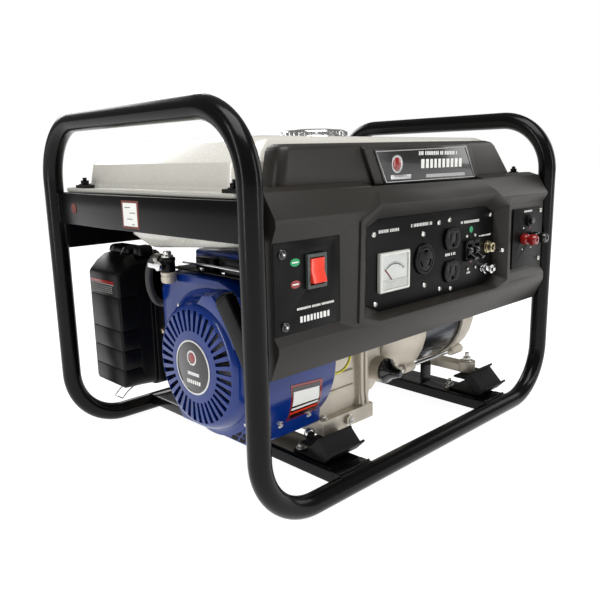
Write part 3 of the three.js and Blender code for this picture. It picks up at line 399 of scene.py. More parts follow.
def piece(name, bm, material, replaces=None, bevel=0.0, segments=2, angle=38, cut=None):
    """One finished piece. cut is a mesh in the same axes that is taken away from it."""
    obj = from_design(name, bm)
    if cut is not None:
        carve(obj, cut)
    register(obj, material, replaces, bevel, segments, angle)


def carve(obj, bm):
    tool = from_design("cutter", bm)
    take = obj.modifiers.new("cut", "BOOLEAN")
    take.operation = "DIFFERENCE"
    take.solver = "EXACT"
    take.use_self = True
    take.object = tool
    settle(obj)
    bpy.data.objects.remove(tool)


def refined(node, material, bevel, segments=3, angle=38):
    """The CAD node's own shape, with flat faces made whole and its edges rounded."""
    bm = bmesh.new()
    bm.from_mesh(frame["nodes"][node].data)
    bmesh.ops.remove_doubles(bm, verts=bm.verts, dist=2e-5)
    bmesh.ops.dissolve_limit(bm, angle_limit=radians(0.6), verts=bm.verts, edges=bm.edges)
    bmesh.ops.dissolve_degenerate(bm, edges=bm.edges, dist=2e-5)
    register(new_object(node + "_finish", bm), material, node, bevel, segments, angle)


def dress(node, material):
    """A better material on a CAD node whose shape stays."""
    slots = frame["nodes"][node].data.materials
    slots.clear()
    slots.append(material)


# ---- fasteners
def screw(bm, x, y, z, radius, height):
    """A pan-head screw with a round recess in its top, seated on a surface."""
    profile = [(0, 0), (radius, 0), (radius, height * 0.35), (radius * 0.8, height * 0.8),
        (radius * 0.4, height), (radius * 0.4, height * 0.55), (0, height * 0.55)]
    lathe(bm, profile, (x, y, z), FRONT, 20)


def bolt(bm, origin, direction, across, head, washer=1.4, shank=0.0):
    """A hexagon bolt head on a washer, with a rounded top."""
    disc(bm, across * 0.85, 0, washer, origin, direction, 28)
    hexagon(bm, across, washer, washer + head, origin, direction)
    crown = across * 0.42
    lathe(bm, [(0, washer + head - 0.2), (crown, washer + head - 0.2),
        (crown * 0.8, washer + head + 0.8), (0, washer + head + 1.0)], origin, direction, 24)
    if shank:
        disc(bm, across * 0.28, washer + head, washer + head + shank, origin, direction, 18)


def bolts(bm, places, direction, across, head, washer=1.4, shank=0.0):
    for place in places:
        bolt(bm, place, direction, across, head, washer, shank)


# ---- frame
def frame_tubes():
    """The lower hoops at the front and rear, and the carrying handles that join them."""
    def bent(name, corners, node):
        path = rounded(corners, BEND_R, 20)
        piece(name, made(sweep, path, TUBE_R, 40), BLACK_ENAMEL, replaces=node, angle=50)
    for name, y in (("front", -FRAME_Y), ("rear", FRAME_Y)):
        corners = [(x, y, z) for x, z in ((-FRAME_X, SPLIT_Z), (-FRAME_X, TUBE_R), (FRAME_X, TUBE_R),
            (FRAME_X, SPLIT_Z))]
        bent(f"{name}_tube_round", corners, f"{name}_frame_tube")
    for name, x in (("left", -FRAME_X), ("right", FRAME_X)):
        corners = [(x, y, z) for y, z in ((-FRAME_Y, SPLIT_Z), (-FRAME_Y, HANDLE_Z),
            (FRAME_Y, HANDLE_Z), (FRAME_Y, SPLIT_Z))]
        bent(f"{name}_handle_round", corners, f"{name}_carry_handle")


def weld_bead(bm, start, end, width, rng):
    """A fillet of overlapping drops from start to end."""
    a, b = Vector(start), Vector(end)
    steps = max(4, int((b - a).length / 1.2))
    path = [a.lerp(b, i / steps) for i in range(steps + 1)]
    sizes = [width * (0.75 + 0.35 * rng.random() + 0.2 * sin(i * 1.9)) for i in range(steps + 1)]
    sweep(bm, path, lambda share: sizes[round(share * steps)], 8)


def rails():
    rng = random.Random(11)
    for node in ("left_tank_rail", "right_tank_rail", "rear_tank_rail", "front_tank_rail"):
        refined(node, BLACK_ENAMEL, bevel=0.9)
    for name, side in (("left", -1), ("right", 1)):
        bm = bmesh.new()
        low, high = span(f"{name}_tank_rail")
        face = side * (FRAME_X + 1.2)
        for y in (low.y + 0.2, high.y - 0.2):
            weld_bead(bm, (face, y, low.z + 1), (face, y, high.z - 1), 2.0, rng)
        piece(f"{name}_rail_welds", bm, BLACK_ENAMEL, angle=70)
    top = span("left_cross_member")[1].z
    for node in ("left_cross_member", "right_cross_member"):
        refined(node, BLACK_ENAMEL, bevel=0.9)
        low, high = span(node)
        bm = bmesh.new()
        for side, y in ((-1, low.y), (1, high.y)):
            near, far = y - side * 6, side * FRAME_Y
            tongue = [(near, top - 0.1), (far, top - 0.1), (far, 9), (near, 9)]
            prism(bm, tongue, "X", low.x + 0.3, high.x - 0.3)
        piece(node + "_ends", bm, BLACK_ENAMEL, bevel=0.6)
        bm = bmesh.new()
        for side in (-1, 1):
            y = side * (FRAME_Y - 6)
            weld_bead(bm, (low.x + 1, y, top), (high.x - 1, y, top), 1.8, rng)
        piece(node + "_welds", bm, BLACK_ENAMEL, angle=70)


def mounts():
    """The rubber blocks between the frame and the set."""
    for node in ("front_left_mount", "rear_left_mount", "front_right_mount", "rear_right_mount"):
        refined(node, RUBBER, bevel=1.0)


# ---- labels
def parallelogram(bm, corners, y, thick):
    """A thin plate on a front face, from four corners in X and Z."""
    skin(bm, [[Vector((x, y, z)) for x, z in corners], [Vector((x, y - thick, z)) for x, z in corners]])


def inset(corners, by):
    """The same outline, drawn smaller by about one width all round."""
    cx = sum(p[0] for p in corners) / len(corners)
    cz = sum(p[1] for p in corners) / len(corners)
    return [(x - by * (1 if x > cx else -1), z - by * (1 if z > cz else -1)) for x, z in corners]


def border(bm, corners, width, y, thick):
    """A raised frame line along an outline."""
    inner = inset(corners, width)
    rings = []
    for loop, depth in ((corners, y), (corners, y - thick), (inner, y - thick), (inner, y)):
        rings.append([Vector((x, depth, z)) for x, z in loop])
    skin(bm, rings, closed=True)


def caption(bm, x0, x1, z, height, y, rng):
    """A line of plain blocks that stands for printed words, and says nothing."""
    x = x0
    while x < x1 - height * 0.4:
        width = height * rng.uniform(0.4, 0.62)
        gap = height * (0.85 if rng.random() < 0.14 else 0.3)
        box(bm, x, min(x + width, x1), y - PRINT_DEPTH, y, z, z + height)
        x += width + gap


def captions(bm, seed, y, rows):
    """Lines of plain blocks, each given by its two X ends, its Z and its height."""
    rng = random.Random(seed)
    for x0, x1, z, height in rows:
        caption(bm, x0, x1, z, height, y, rng)


def cowl():
    """The cover in front of the tank, sloping at both ends, with a raised field."""
    levels = ((346.4, -236, 222, -182.4, 12, 3), (386, -228, 178, -181.4, 12, 0.3),
        (390.6, -225, 172, -178.6, 10, 0.7), (393, -218, 164, -172, 8, 0.9))

    def leaning(bm, inner):
        skin(bm, [[point + Vector((0, 0, 0.012 * (point.x + 40) * (z > 350)))
            for point in ring_z(z - inner * low, x0 + inner, x1 - inner, y + inner, -110, r)]
            for z, x0, x1, y, r, low in levels])
    cut = made(leaning, 2.6)
    box(cut, -260, 260, -155, -100, 330, 400)
    piece("tank_cowl_shell", made(leaning, 0), FASCIA, replaces="tank_cowl", cut=cut, bevel=1.2,
        angle=35)
    field = ((-93, 123, -186.9, 345.6, 0), (-112, 101, -186.4, 386, 4.6), (-109, 97, -179, 389.5, 3.4))
    rings = [[Vector(p) for p in ((x0, y, z), (x1, y, z + rise), (x1, -176, z + rise), (x0, -176, z))]
        for x0, x1, y, z, rise in field]
    piece("cowl_field", made(skin, rings), FASCIA, bevel=1.4, segments=4, angle=35)


def cowl_plate():
    """The name plate on the tank cowl: a dark parallelogram with a silver line and plain marks."""
    y = -187.3
    outline = [(-77, 345.8), (112, 346.4), (89, 388.6), (-96, 384.2)]
    piece("name_plate", made(parallelogram, outline, y + 1.6, 2.4), LABEL_BLACK, bevel=0.25)
    piece("name_plate_line", made(border, inset(outline, 1.6), 1.1, y - 0.85, 0.35), SILVER)
    rows = ((-14, 69, 377.4, 4.4), (-9, 82, 362, 10.6))
    piece("name_plate_marks", made(captions, 3, y - 0.75, rows), WHITE)
    bm = bmesh.new()
    lathe(bm, [(0, 0), (10.2, 0), (10.2, 0.9), (8.2, 0.9), (8.2, 0.5), (0, 0.5)], (-56, y - 0.7, 368),
        FRONT, 40)
    box(bm, -67, -29, y - 1.1, y - 0.7, 350.6, 355.6)
    piece("name_plate_badge", bm, SILVER, bevel=0.15)
    piece("name_plate_stud", made(lathe, [(0, 0.5), (7.6, 0.5), (6.2, 1.2), (0, 1.5)],
        (-56, y - 0.7, 368), FRONT, 32), DEEP_RED)
    piece("name_plate_stripe", made(box, 1, 86, y - 1.1, y - 0.75, 350.8, 354.8), SILVER)


# ---- control panel
def fascia():
    refined("control_fascia", FASCIA, bevel=1.3, angle=35)
    refined("panel_plate", PANEL, bevel=0.3)
    y = PLATE_Y - 0.1
    screws = bmesh.new()
    for x, z in ((-108.6, 292.3), (-105.8, 212.6), (138.3, 297), (16.5, 295.8), (21.1, 211.5),
            (-15.9, 284.6), (-11.9, 221.1), (39.5, 297.4), (45.5, 208.5)):
        screw(screws, x, y, z, 3.4, height=2.0)
    for x, z in ((81.3, 272.5), (100.9, 272.3), (85.4, 228.9), (104.2, 229.1)):
        screw(screws, x, y, z, 2.5, height=2.0)
    piece("panel_screws", screws, ZINC, angle=30)
    rows = ((-99.5, -60, 292.6, 3.6), (-39.5, 4.4, 294.4, 3.8), (33, 57, 251.6, 3.4),
        (67, 111, 289.6, 3.4), (112, 142, 269, 2.0), (84, 92, 222.4, 2.6))
    piece("panel_captions", made(captions, 5, y, rows), WHITE)
    piece("panel_green_mark", made(disc, 4.2, 0, 0.7, (91, y, 280.8), FRONT, 24), GREEN)
    piece("panel_red_mark", made(disc, 2.8, 0, 0.7, (92.5, y, 239.5), FRONT, 24), DEEP_RED)


def meter():
    low, high = span("voltmeter")
    front = low.y
    levels = ((high.y, 0, 0, 2), (front + 1.2, 0, 0, 2), (front, 1.2, 1.2, 1.4), (front, 3.6, 3.2, 1.2),
        (front + 2.6, 4, 3.5, 1.2))
    rings = [ring_y(y, low.x + i, high.x - i, low.z + j, high.z - j, r) for y, i, j, r in levels]
    piece("voltmeter_case", made(skin, rings), SMOKE, replaces="voltmeter", bevel=0.25)
    dial_y = front + 2.5
    piece("voltmeter_dial", made(box, low.x + 4, high.x - 4, dial_y - 0.1, dial_y + 0.4, low.z + 14,
        high.z - 3.5), DIAL)
    bm = bmesh.new()
    box(bm, low.x + 4, high.x - 4, dial_y - 1.4, dial_y + 0.4, low.z + 3.5, low.z + 13.8)
    for i in range(9):
        x = low.x + 10 + i * 4.2
        box(bm, x, x + 1.2, dial_y - 1.8, dial_y - 1.3, low.z + 5, low.z + 12.5)
    piece("voltmeter_skirt", bm, SMOKE, bevel=0.2)
    bm = bmesh.new()
    cx, pivot = -74.5, 233
    for k in range(25):
        turn = radians(135 - 90 * k / 24)
        inner = 23.4 if k % 6 else 21.8
        along = Vector((cos(turn), 0, sin(turn)))
        across = Vector((-along.z, 0, along.x)) * (0.14 if k % 6 else 0.28)
        a = Vector((cx, dial_y - 0.15, pivot)) + along * inner
        b = Vector((cx, dial_y - 0.15, pivot)) + along * 26
        skin(bm, [[a - across, a + across, b + across, b - across],
            [p + Vector((0, -0.12, 0)) for p in (a - across, a + across, b + across, b - across)]])
    skin(bm, [[Vector((cx + r * cos(t), dial_y - d, pivot + r * sin(t)))
        for r, d in ((22.8, 0.1), (22.8, 0.26), (23.8, 0.26), (23.8, 0.1))]
        for t in [radians(135 - 90 * k / 40) for k in range(41)]])
    piece("voltmeter_scale", bm, LABEL_BLACK)
    piece("voltmeter_window", made(box, low.x + 3.7, high.x - 3.7, front + 0.1, front + 0.4,
        low.z + 3.4, high.z - 3.4), WINDOW)
    refined("voltmeter_needle", DEEP_RED, bevel=0.15, segments=2)


def blade(bm, x, z, w, h, y):
    """The room for one contact slot of an outlet, in a face at Y."""
    box(bm, x - w / 2, x + w / 2, y - 1, y + 2.6, z - h / 2, z + h / 2)


def round_outlet():
    back = span("round_outlet")[1].y
    x, z = middle_of("round_outlet").xz
    bm, cut = bmesh.new(), bmesh.new()
    face = [(0, 0), (19.4, 0), (19.4, 2), (18.4, 3.2), (16.4, 3.5), (15.6, 2.5), (15, 2.5), (14.3, 3.5),
        (0, 3.5)]
    lathe(bm, face, (x, back, z), FRONT, 64)
    for k in range(3):
        a0 = 90 + k * 120
        inner = arc(x, z, 8.8, a0 - 24, a0 + 24, 8)
        outer = arc(x, z, 11.4, a0 + 24, a0 - 24, 8)
        prism(cut, inner + outer, "Y", back - 5, back - 0.6)
    piece("round_outlet_face", bm, MOULDED, replaces="round_outlet", cut=cut, bevel=0.25)


def duplex():
    front, back = (corner.y for corner in span("duplex_outlet"))
    x = middle_of("duplex_outlet").x
    bm, cut = bmesh.new(), bmesh.new()
    for z in OUTLET_Z:
        outline = arc(x, z, 17.4, -50, 50, 14) + arc(x, z, 17.4, 130, 230, 14)
        small = [(x + (px - x) * 0.94, z + (pz - z) * 0.94) for px, pz in outline]
        skin(bm, [[Vector((px, back, pz)) for px, pz in outline],
            [Vector((px, front + 0.8, pz)) for px, pz in outline],
            [Vector((px, front, pz)) for px, pz in small]])
        blade(cut, x - 6.3, z + 3, 1.9, 8.2, front)
        blade(cut, x + 6.3, z + 3, 1.9, 6.8, front)
        prism(cut, arc(x, z - 8, 2.5, 0, 180, 10) + [(x - 2.5, z - 10.4), (x + 2.5, z - 10.4)], "Y",
            front - 1, front + 2.6)
    piece("duplex_faces", bm, MOULDED, replaces="duplex_outlet", cut=cut, bevel=0.2)
    bm = bmesh.new()
    for z in OUTLET_Z:
        for dx, w in ((-6.3, 1.1), (6.3, 1.1)):
            box(bm, x + dx - w / 2, x + dx + w / 2, front + 1.6, front + 2.6, z, z + 6)
    piece("duplex_contacts", bm, BRASS)


def breakers():
    for letter in "ab":
        refined(f"breaker_lever_{letter}", GLOSS_BLACK, bevel=0.7)
    bm = bmesh.new()
    for x in (84, 101):
        box(bm, x - 7.6, x + 7.6, PLATE_Y - 5.2, PLATE_Y - 3.9, 264.2, 267.8)
        box(bm, x - 7.6, x + 7.6, PLATE_Y - 5.2, PLATE_Y - 3.9, 239.4, 242.4)
    piece("breaker_collars", bm, MOULDED, bevel=0.5)


def selector():
    x, z = 133.5, 253.5
    y = PLATE_Y - 0.4
    bm = bmesh.new()
    hexagon(bm, 15, 0, 3.2, (x, y, z), FRONT, 12)
    disc(bm, 8.6, 0, 0.8, (x, y, z), FRONT, 32)
    piece("selector_nut", bm, BRASS, bevel=0.4)
    bm = bmesh.new()
    collar = [(3.6, 3), (6.4, 3), (6.4, 4)]
    for k in range(5):
        collar += [(6.4, 4 + k), (5.8, 4.3 + k), (5.8, 4.6 + k), (6.4, 4.9 + k)]
    collar += [(5.2, 9), (4.2, 9), (3.6, 7), (3.6, 3)]
    lathe(bm, collar, (x, y, z), FRONT, 40)
    piece("selector_collar", bm, BRASS, replaces="selector_switch")
    refined("selector_lever", CHROME, bevel=0.0, angle=60)


def ground_post():
    x, z = 131, 224
    y = PLATE_Y - 0.4
    bm = bmesh.new()
    lathe(bm, [(0, 0), (7.8, 0), (7.8, 1.5), (3, 1.5), (3, 13.4), (2.2, 14), (0, 14)], (x, y, z), FRONT,
        32)
    hexagon(bm, 10, 1.5, 3.6, (x, y, z), FRONT)
    for dx, dz in ((-10.5, 1.5), (14, -3.5)):
        disc(bm, 4.6, 0, 1, (x + dx, y, z + dz), FRONT, 24)
        hexagon(bm, 6.5, 1, 3.6, (x + dx, y, z + dz), FRONT)
    piece("ground_stud", bm, CHROME, replaces="ground_terminal", bevel=0.25)
    refined("ground_nut", CHROME, bevel=0.8)


def switch_pocket():
    y = POCKET_Y
    plate = made(box, -268.6, -176.2, y - 0.4, y + 0.3, 208.2, 298.8)
    window = made(box, -225.5, -199.5, y - 3, y + 3, 250.5, 284)
    piece("switch_plate", plate, PANEL, cut=window, bevel=0.3)
    refined("engine_switch_housing", BEZEL, bevel=0.4)
    refined("engine_switch_rocker", RED, bevel=0.7)
    bm = bmesh.new()
    for x, z in ((-257.5, 288), (-255.5, 217)):
        lathe(bm, [(0, 0), (5.2, 0), (5.2, 1.2), (4.6, 1.8), (3.4, 1.8), (3.0, 2.6), (1.6, 3.0),
            (0, 3.0)], (x, y - 0.4, z), FRONT, 28)
    piece("switch_plate_screws", bm, GLOSS_BLACK)
    bm = bmesh.new()
    for x, z in ((-257.5, 288), (-255.5, 217)):
        lathe(bm, [(0, 2.8), (1.5, 2.8), (1.2, 3.6), (0, 3.7)], (x, y - 0.4, z), FRONT, 16)
    piece("switch_screw_tips", bm, CHROME)
    for name, z, material in (("run", 278.5, GREEN), ("stop", 257, DEEP_RED)):
        outline = [(-240.5 + 6.4 * cos(t), z + 3.9 * sin(t)) for t in around(32)]
        piece(f"{name}_mark", made(prism, outline, "Y", y - 0.8, y - 0.4), material)
        piece(f"{name}_mark_line", made(box, -244.5, -236.5, y - 1.0, y - 0.75, z - 0.6, z + 0.7),
            WHITE)
    rows = ((-239, -185.5, 230.6, 2.3), (-235, -190, 217.6, 6.2))
    piece("switch_captions", made(captions, 8, y - 0.4, rows), WHITE)


def dc_pocket():
    y = span("dc_panel")[1].y - 2.1
    refined("dc_panel", PANEL, bevel=0.35)
    knob = [(2.6, 2.4), (6.6, 2.4), (7.3, 3.4), (7.3, 10.2), (6.4, 11.6), (5.4, 12), (5.4, 13),
        (6.4, 13.6), (7.3, 15), (7.3, 21.6), (6.2, 24), (4, 24.5), (2.6, 24.5), (2.6, 2.4)]
    for node, x, material in (("dc_terminal_red", 206, DEEP_RED),
            ("dc_terminal_black", 236, GLOSS_BLACK)):
        bm = bmesh.new()
        lathe(bm, knob, (x, POCKET_Y, 258), FRONT, 40)
        for lobe in (6.6, 18.2):
            for t in around(16):
                centre = (x + 7.1 * cos(t), POCKET_Y - lobe + 2.6, 258 + 7.1 * sin(t))
                disc(bm, 0.62, 0, 5.2, centre, FRONT, 6)
        piece(node + "_knob", bm, material, replaces=node)
    refined("dc_breaker_button", GLOSS_BLACK, bevel=0.3)
    bm = bmesh.new()
    for x, z in ((256, 295.5), (256.5, 225)):
        screw(bm, x, y, z, 3.4, height=2.2)
    piece("dc_screws", bm, ZINC, angle=30)
    bm = bmesh.new()
    captions(bm, 6, y, ((208, 232, 295.2, 2.4), ))
    disc(bm, 1.3, 0, 0.4, (208, y, 273), FRONT, 16)
    disc(bm, 1.1, 0, 0.4, (206.5, y, 243), FRONT, 16)
    box(bm, 230, 234, y - 0.4, y, 243, 244)
    piece("dc_captions", bm, WHITE)
    piece("dc_red_mark", made(disc, 1.5, 0, 0.5, (226, y, 272.5), FRONT, 16), DEEP_RED)


# ---- fuel
def tank():
    """The pressed upper and lower shells, with the welded flange between them."""
    def at(z, x, y0, y1, r):
        return ring_z(z, -x, x, y0, y1, r, 8)
    rings = [at(302, 256, -148, 180, 32), at(322, 257, -150.5, 183.5, 34), at(343, 258, -153, 187, 36),
        at(358, 255.4, -151, 184, 34.4), at(374, 252.4, -149, 181, 33),
        at(375.6, 251.2, -148.4, 180, 32.6), at(385, 240, -144.2, 168, 26),
        at(395, 226.6, -140, 154, 20.4), at(396.6, 224, -139, 150, 20), at(399.4, 219, -134, 116, 20),
        at(400.6, 215, -131, 98, 20), at(401, 210, -126, 88, 18)]
    piece("tank_shell", made(skin, rings), IVORY, angle=14)
    rings = [[point + Vector((0, 0, tilt * (56 - point.y) * 0.078)) for point in at(z, x, y0, y1, r)]
        for z, x, y0, y1, r, tilt in ((271.6, 150, -60, 0, 10, 1), (271.6, 236, -120, 50, 18, 1),
        (272.4, 240, -124, 56, 20, 1), (275, 243, -128, 62, 22, 0.9), (288, 248, -140, 94, 28, 0.2),
        (303, 256, -148, 98, 32, 0))]
    piece("tank_sump", made(skin, rings), IVORY, angle=60)
    bm = bmesh.new()
    rings = [ring_z(z, -278 + i, 278 - i, -172 + i, 196 - i, 14, 8)
        for z, i in ((339.9, 0.6), (340.6, 0), (344.2, 0), (345, 0.6))]
    skin(bm, rings)
    rings = [at(343.5, 261, -156, 190, 38), at(346.4, 259.4, -154.4, 188.4, 37),
        at(350, 258.2, -153.2, 187.2, 36)]
    skin(bm, rings)
    piece("tank_flange", bm, IVORY, replaces="fuel_tank", angle=50)
    pads, plates, nuts = bmesh.new(), bmesh.new(), bmesh.new()
    for x in (-PAD_X, PAD_X):
        for y in (-158, 150):
            skin(pads, [ring_z(RAIL_TOP + dz, x - 7.5 + i, x + 7.5 - i, y - 15 + i, y + 15 - i, 5)
                for dz, i in ((0, 0), (3.2, 0), (3.8, 0.6))])
            disc(plates, 7.4, 3.8, 5.2, (x, y, RAIL_TOP), UP, 32)
            hexagon(nuts, 9, 5.2, 9.6, (x, y, RAIL_TOP), UP)
            disc(nuts, 2.6, 9.4, 13, (x, y, RAIL_TOP), UP, 16)
    piece("tank_pads", pads, RUBBER, bevel=0.3)
    piece("tank_washers", plates, BLACK_ENAMEL, bevel=0.3)
    piece("tank_nuts", nuts, BLACK_ENAMEL, bevel=0.4)


def cap():
    x, y = middle_of("fuel_cap").xy
    base = span("fuel_cap")[0].z + 6
    bm = bmesh.new()
    profile = [(0, 0), (45.5, 0), (47, 1.2), (47, 3.4), (45.6, 5.4)]
    profile += [(45.2, 9), (43.6, 11.4), (40.4, 12.6), (34, 13), (30, 12.2), (27, 12.2), (24, 14),
        (0, 15)]
    lathe(bm, profile, (x, y, base + 0.4), UP, 72)
    for t in around(36):
        centre = (x + 45.6 * cos(t), y + 45.6 * sin(t), base + 4.6)
        lathe(bm, [(0, 0), (1.3, 0), (1.3, 5.4), (0, 6.2)], centre, UP, 8)
    disc(bm, 24.5, -6, 1, (x, y, base), UP, 48)
    piece("fuel_cap_cover", bm, CHROME, replaces="fuel_cap", angle=32)


def fuel_cock():
    x, y, top = COCK_X, COCK_Y, 273.6
    bm = bmesh.new()
    disc(bm, 5, -1, -6, (x, y, top), UP, 32)
    disc(bm, 7.2, -5.8, -8.6, (x, y, top), UP, 32)
    piece("cock_spigot", bm, ZINC, bevel=0.3)
    bm = bmesh.new()
    hexagon(bm, 16.4, -8.4, -13, (x, y, top), UP)
    body = [(0, -12.6), (8.4, -12.6), (8.8, -14), (8.8, -24.5), (8.2, -26), (0, -26)]
    lathe(bm, body, (x, y, top), UP, 40)
    disc(bm, 5.8, 0, 10.6, (x, y, 256), LEFT, 28)
    disc(bm, 3.4, 0, 12, (x, y, 262), BACK, 24)
    piece("cock_body", bm, MOULDED, replaces="fuel_cock", bevel=0.5)
    bowl = [(0, -25.8), (8.6, -25.8), (9.1, -26.6), (9.1, -28.4), (8.3, -29.2), (8.3, -30.2),
        (8.9, -31), (8.9, -36.6), (7.6, -38.8), (5, -39.6), (0, -39.8)]
    piece("cock_bowl", made(lathe, bowl, (x, y, top), UP, 48), CAST, angle=30)
    refined("fuel_cock_lever", CHROME, bevel=0.7)
    bm = bmesh.new()
    for d in (13, 15.5, 18, 20.5):
        lathe(bm, [(4.9, d), (6.4, d + 0.2), (6.6, d + 0.9), (6.4, d + 1.6), (4.9, d + 1.8), (4.9, d)],
            (x, y, 262), BACK, 28)
    piece("hose_clip", bm, ZINC)


def hose():
    x, y, z = COCK_X, COCK_Y, 262
    route = [(x, y + 17.4, z), (x, y + 29, z), (x - 1, y + 40, 248), (x - 1, y + 43, 230),
        (x + 3, y + 44, 214), (x + 13, y + 48, 202), (x + 35, y + 58, 196), (-178, 62, 197),
        (-160, 70, 201), (-160, 84.1, 201)]
    piece("fuel_hose_round", made(sweep, smooth_path(route, 10), 4.5, 28), HOSE, replaces="fuel_hose",
        angle=60)


# ---- engine
def around_crank(bm, profile, sides):
    """A turned piece on the crankshaft's axis, whose distances are X."""
    lathe(bm, profile, CRANK, RIGHT, sides)


def off_crank(x, radius, turn):
    """A point at a distance from the crankshaft's axis, at an angle in degrees up from the rear."""
    t = radians(turn)
    return Vector((x, CRANK[1] + radius * cos(t), CRANK[2] + radius * sin(t)))


def shroud_outline(inset):
    """Round above and in front, flat below, squared off at the upper rear corner."""
    cy, cz = CRANK[1], CRANK[2]
    r = SHROUD_R - inset
    rear, low = cy + r, 59.3 + inset
    return (arc(cy, cz, r, 97, 224, 44) + [(-131.5 + inset, low + 4), (-127.5 + inset, low),
        (6 - inset, low), (rear - 6, cz - 58), (rear, cz - 30), (rear, cz + 76), (rear - 16, cz + r)])


def shroud():
    bm, cut = bmesh.new(), bmesh.new()
    prism(bm, shroud_outline(0), "X", SHROUD_X, -131)
    prism(cut, shroud_outline(2.5), "X", SHROUD_X + 2.5, -128)
    disc(cut, 74, -250, -220, CRANK, RIGHT, 72)
    piece("fan_shroud_smooth", bm, BLUE, replaces="fan_shroud", cut=cut, bevel=1.2, segments=4,
        angle=40)
    # The vent slots are flat near-black plates on the shroud face, not openings: their black is painted
    # shade for the dark inside the slots.
    bm = bmesh.new()
    for z, slots in ((70.4, ((-122, -112), (-109, -99))), (63.6, ((-116, -106), (-103, -92)))):
        for y0, y1 in slots:
            lean = [(y0 + 1.6, z - 2.6), (y1 + 1.6, z - 2.6), (y1 - 1.6, z + 2.6), (y0 - 1.6, z + 2.6)]
            prism(bm, lean, "X", SHROUD_X - 0.25, SHROUD_X + 1)
    piece("shroud_vent_painted_shade", bm, PANEL)
    shroud_label()
    outward = off_crank(0, 1, 226) - Vector(CRANK)
    places = [off_crank(x, SHROUD_R - 0.6, 226) for x in (-196, -150)]
    piece("shroud_bolts", made(bolts, places, outward, 7, 3, 1.0), ZINC, bevel=0.25)


def shroud_patch(bm, corners, lift):
    """A thin curved sheet over four corners, each an X and an angle, on the shroud."""
    (xa, ta), (xb, tb), (xc, tc), (xd, td) = corners
    grid = []
    for i in range(11):
        s = i / 10
        left = (xa + (xd - xa) * s, ta + (td - ta) * s)
        right = (xb + (xc - xb) * s, tb + (tc - tb) * s)
        grid.append([(left[0] + (right[0] - left[0]) * k / 4, left[1] + (right[1] - left[1]) * k / 4)
            for k in range(5)])
    radius = SHROUD_R + 0.05 + lift
    skin(bm, [[off_crank(x, radius, t) for x, t in row]
        + [off_crank(x, radius - 0.5, t) for x, t in row[::-1]] for row in grid])


def shroud_label():
    """A generic data label: red edge, dark header and foot, pale field, rows of plain marks."""
    sheets = (
        ("edge", [(-204, 188.5), (-153.2, 190.8), (-141.6, 222.2), (-188.5, 224.1)], DEEP_RED, 0.5),
        ("ground", [(-201.5, 190.5), (-156.5, 192.6), (-145, 219.6), (-187, 221.6)], LABEL_BLACK, 0.75),
        ("field", [(-198.2, 194), (-157, 195.8), (-151, 207.2), (-194, 206.4)], WHITE, 1.0),
        ("row_a", [(-193, 208.5), (-150.5, 209), (-149.6, 210.8), (-192.4, 210.6)], WHITE, 1.0),
        ("row_b", [(-191.5, 213), (-149, 212.8), (-148, 215), (-190.6, 215.4)], RED, 1.0))
    for name, corners, material, lift in sheets:
        piece(f"shroud_label_{name}", made(shroud_patch, corners, lift), material)


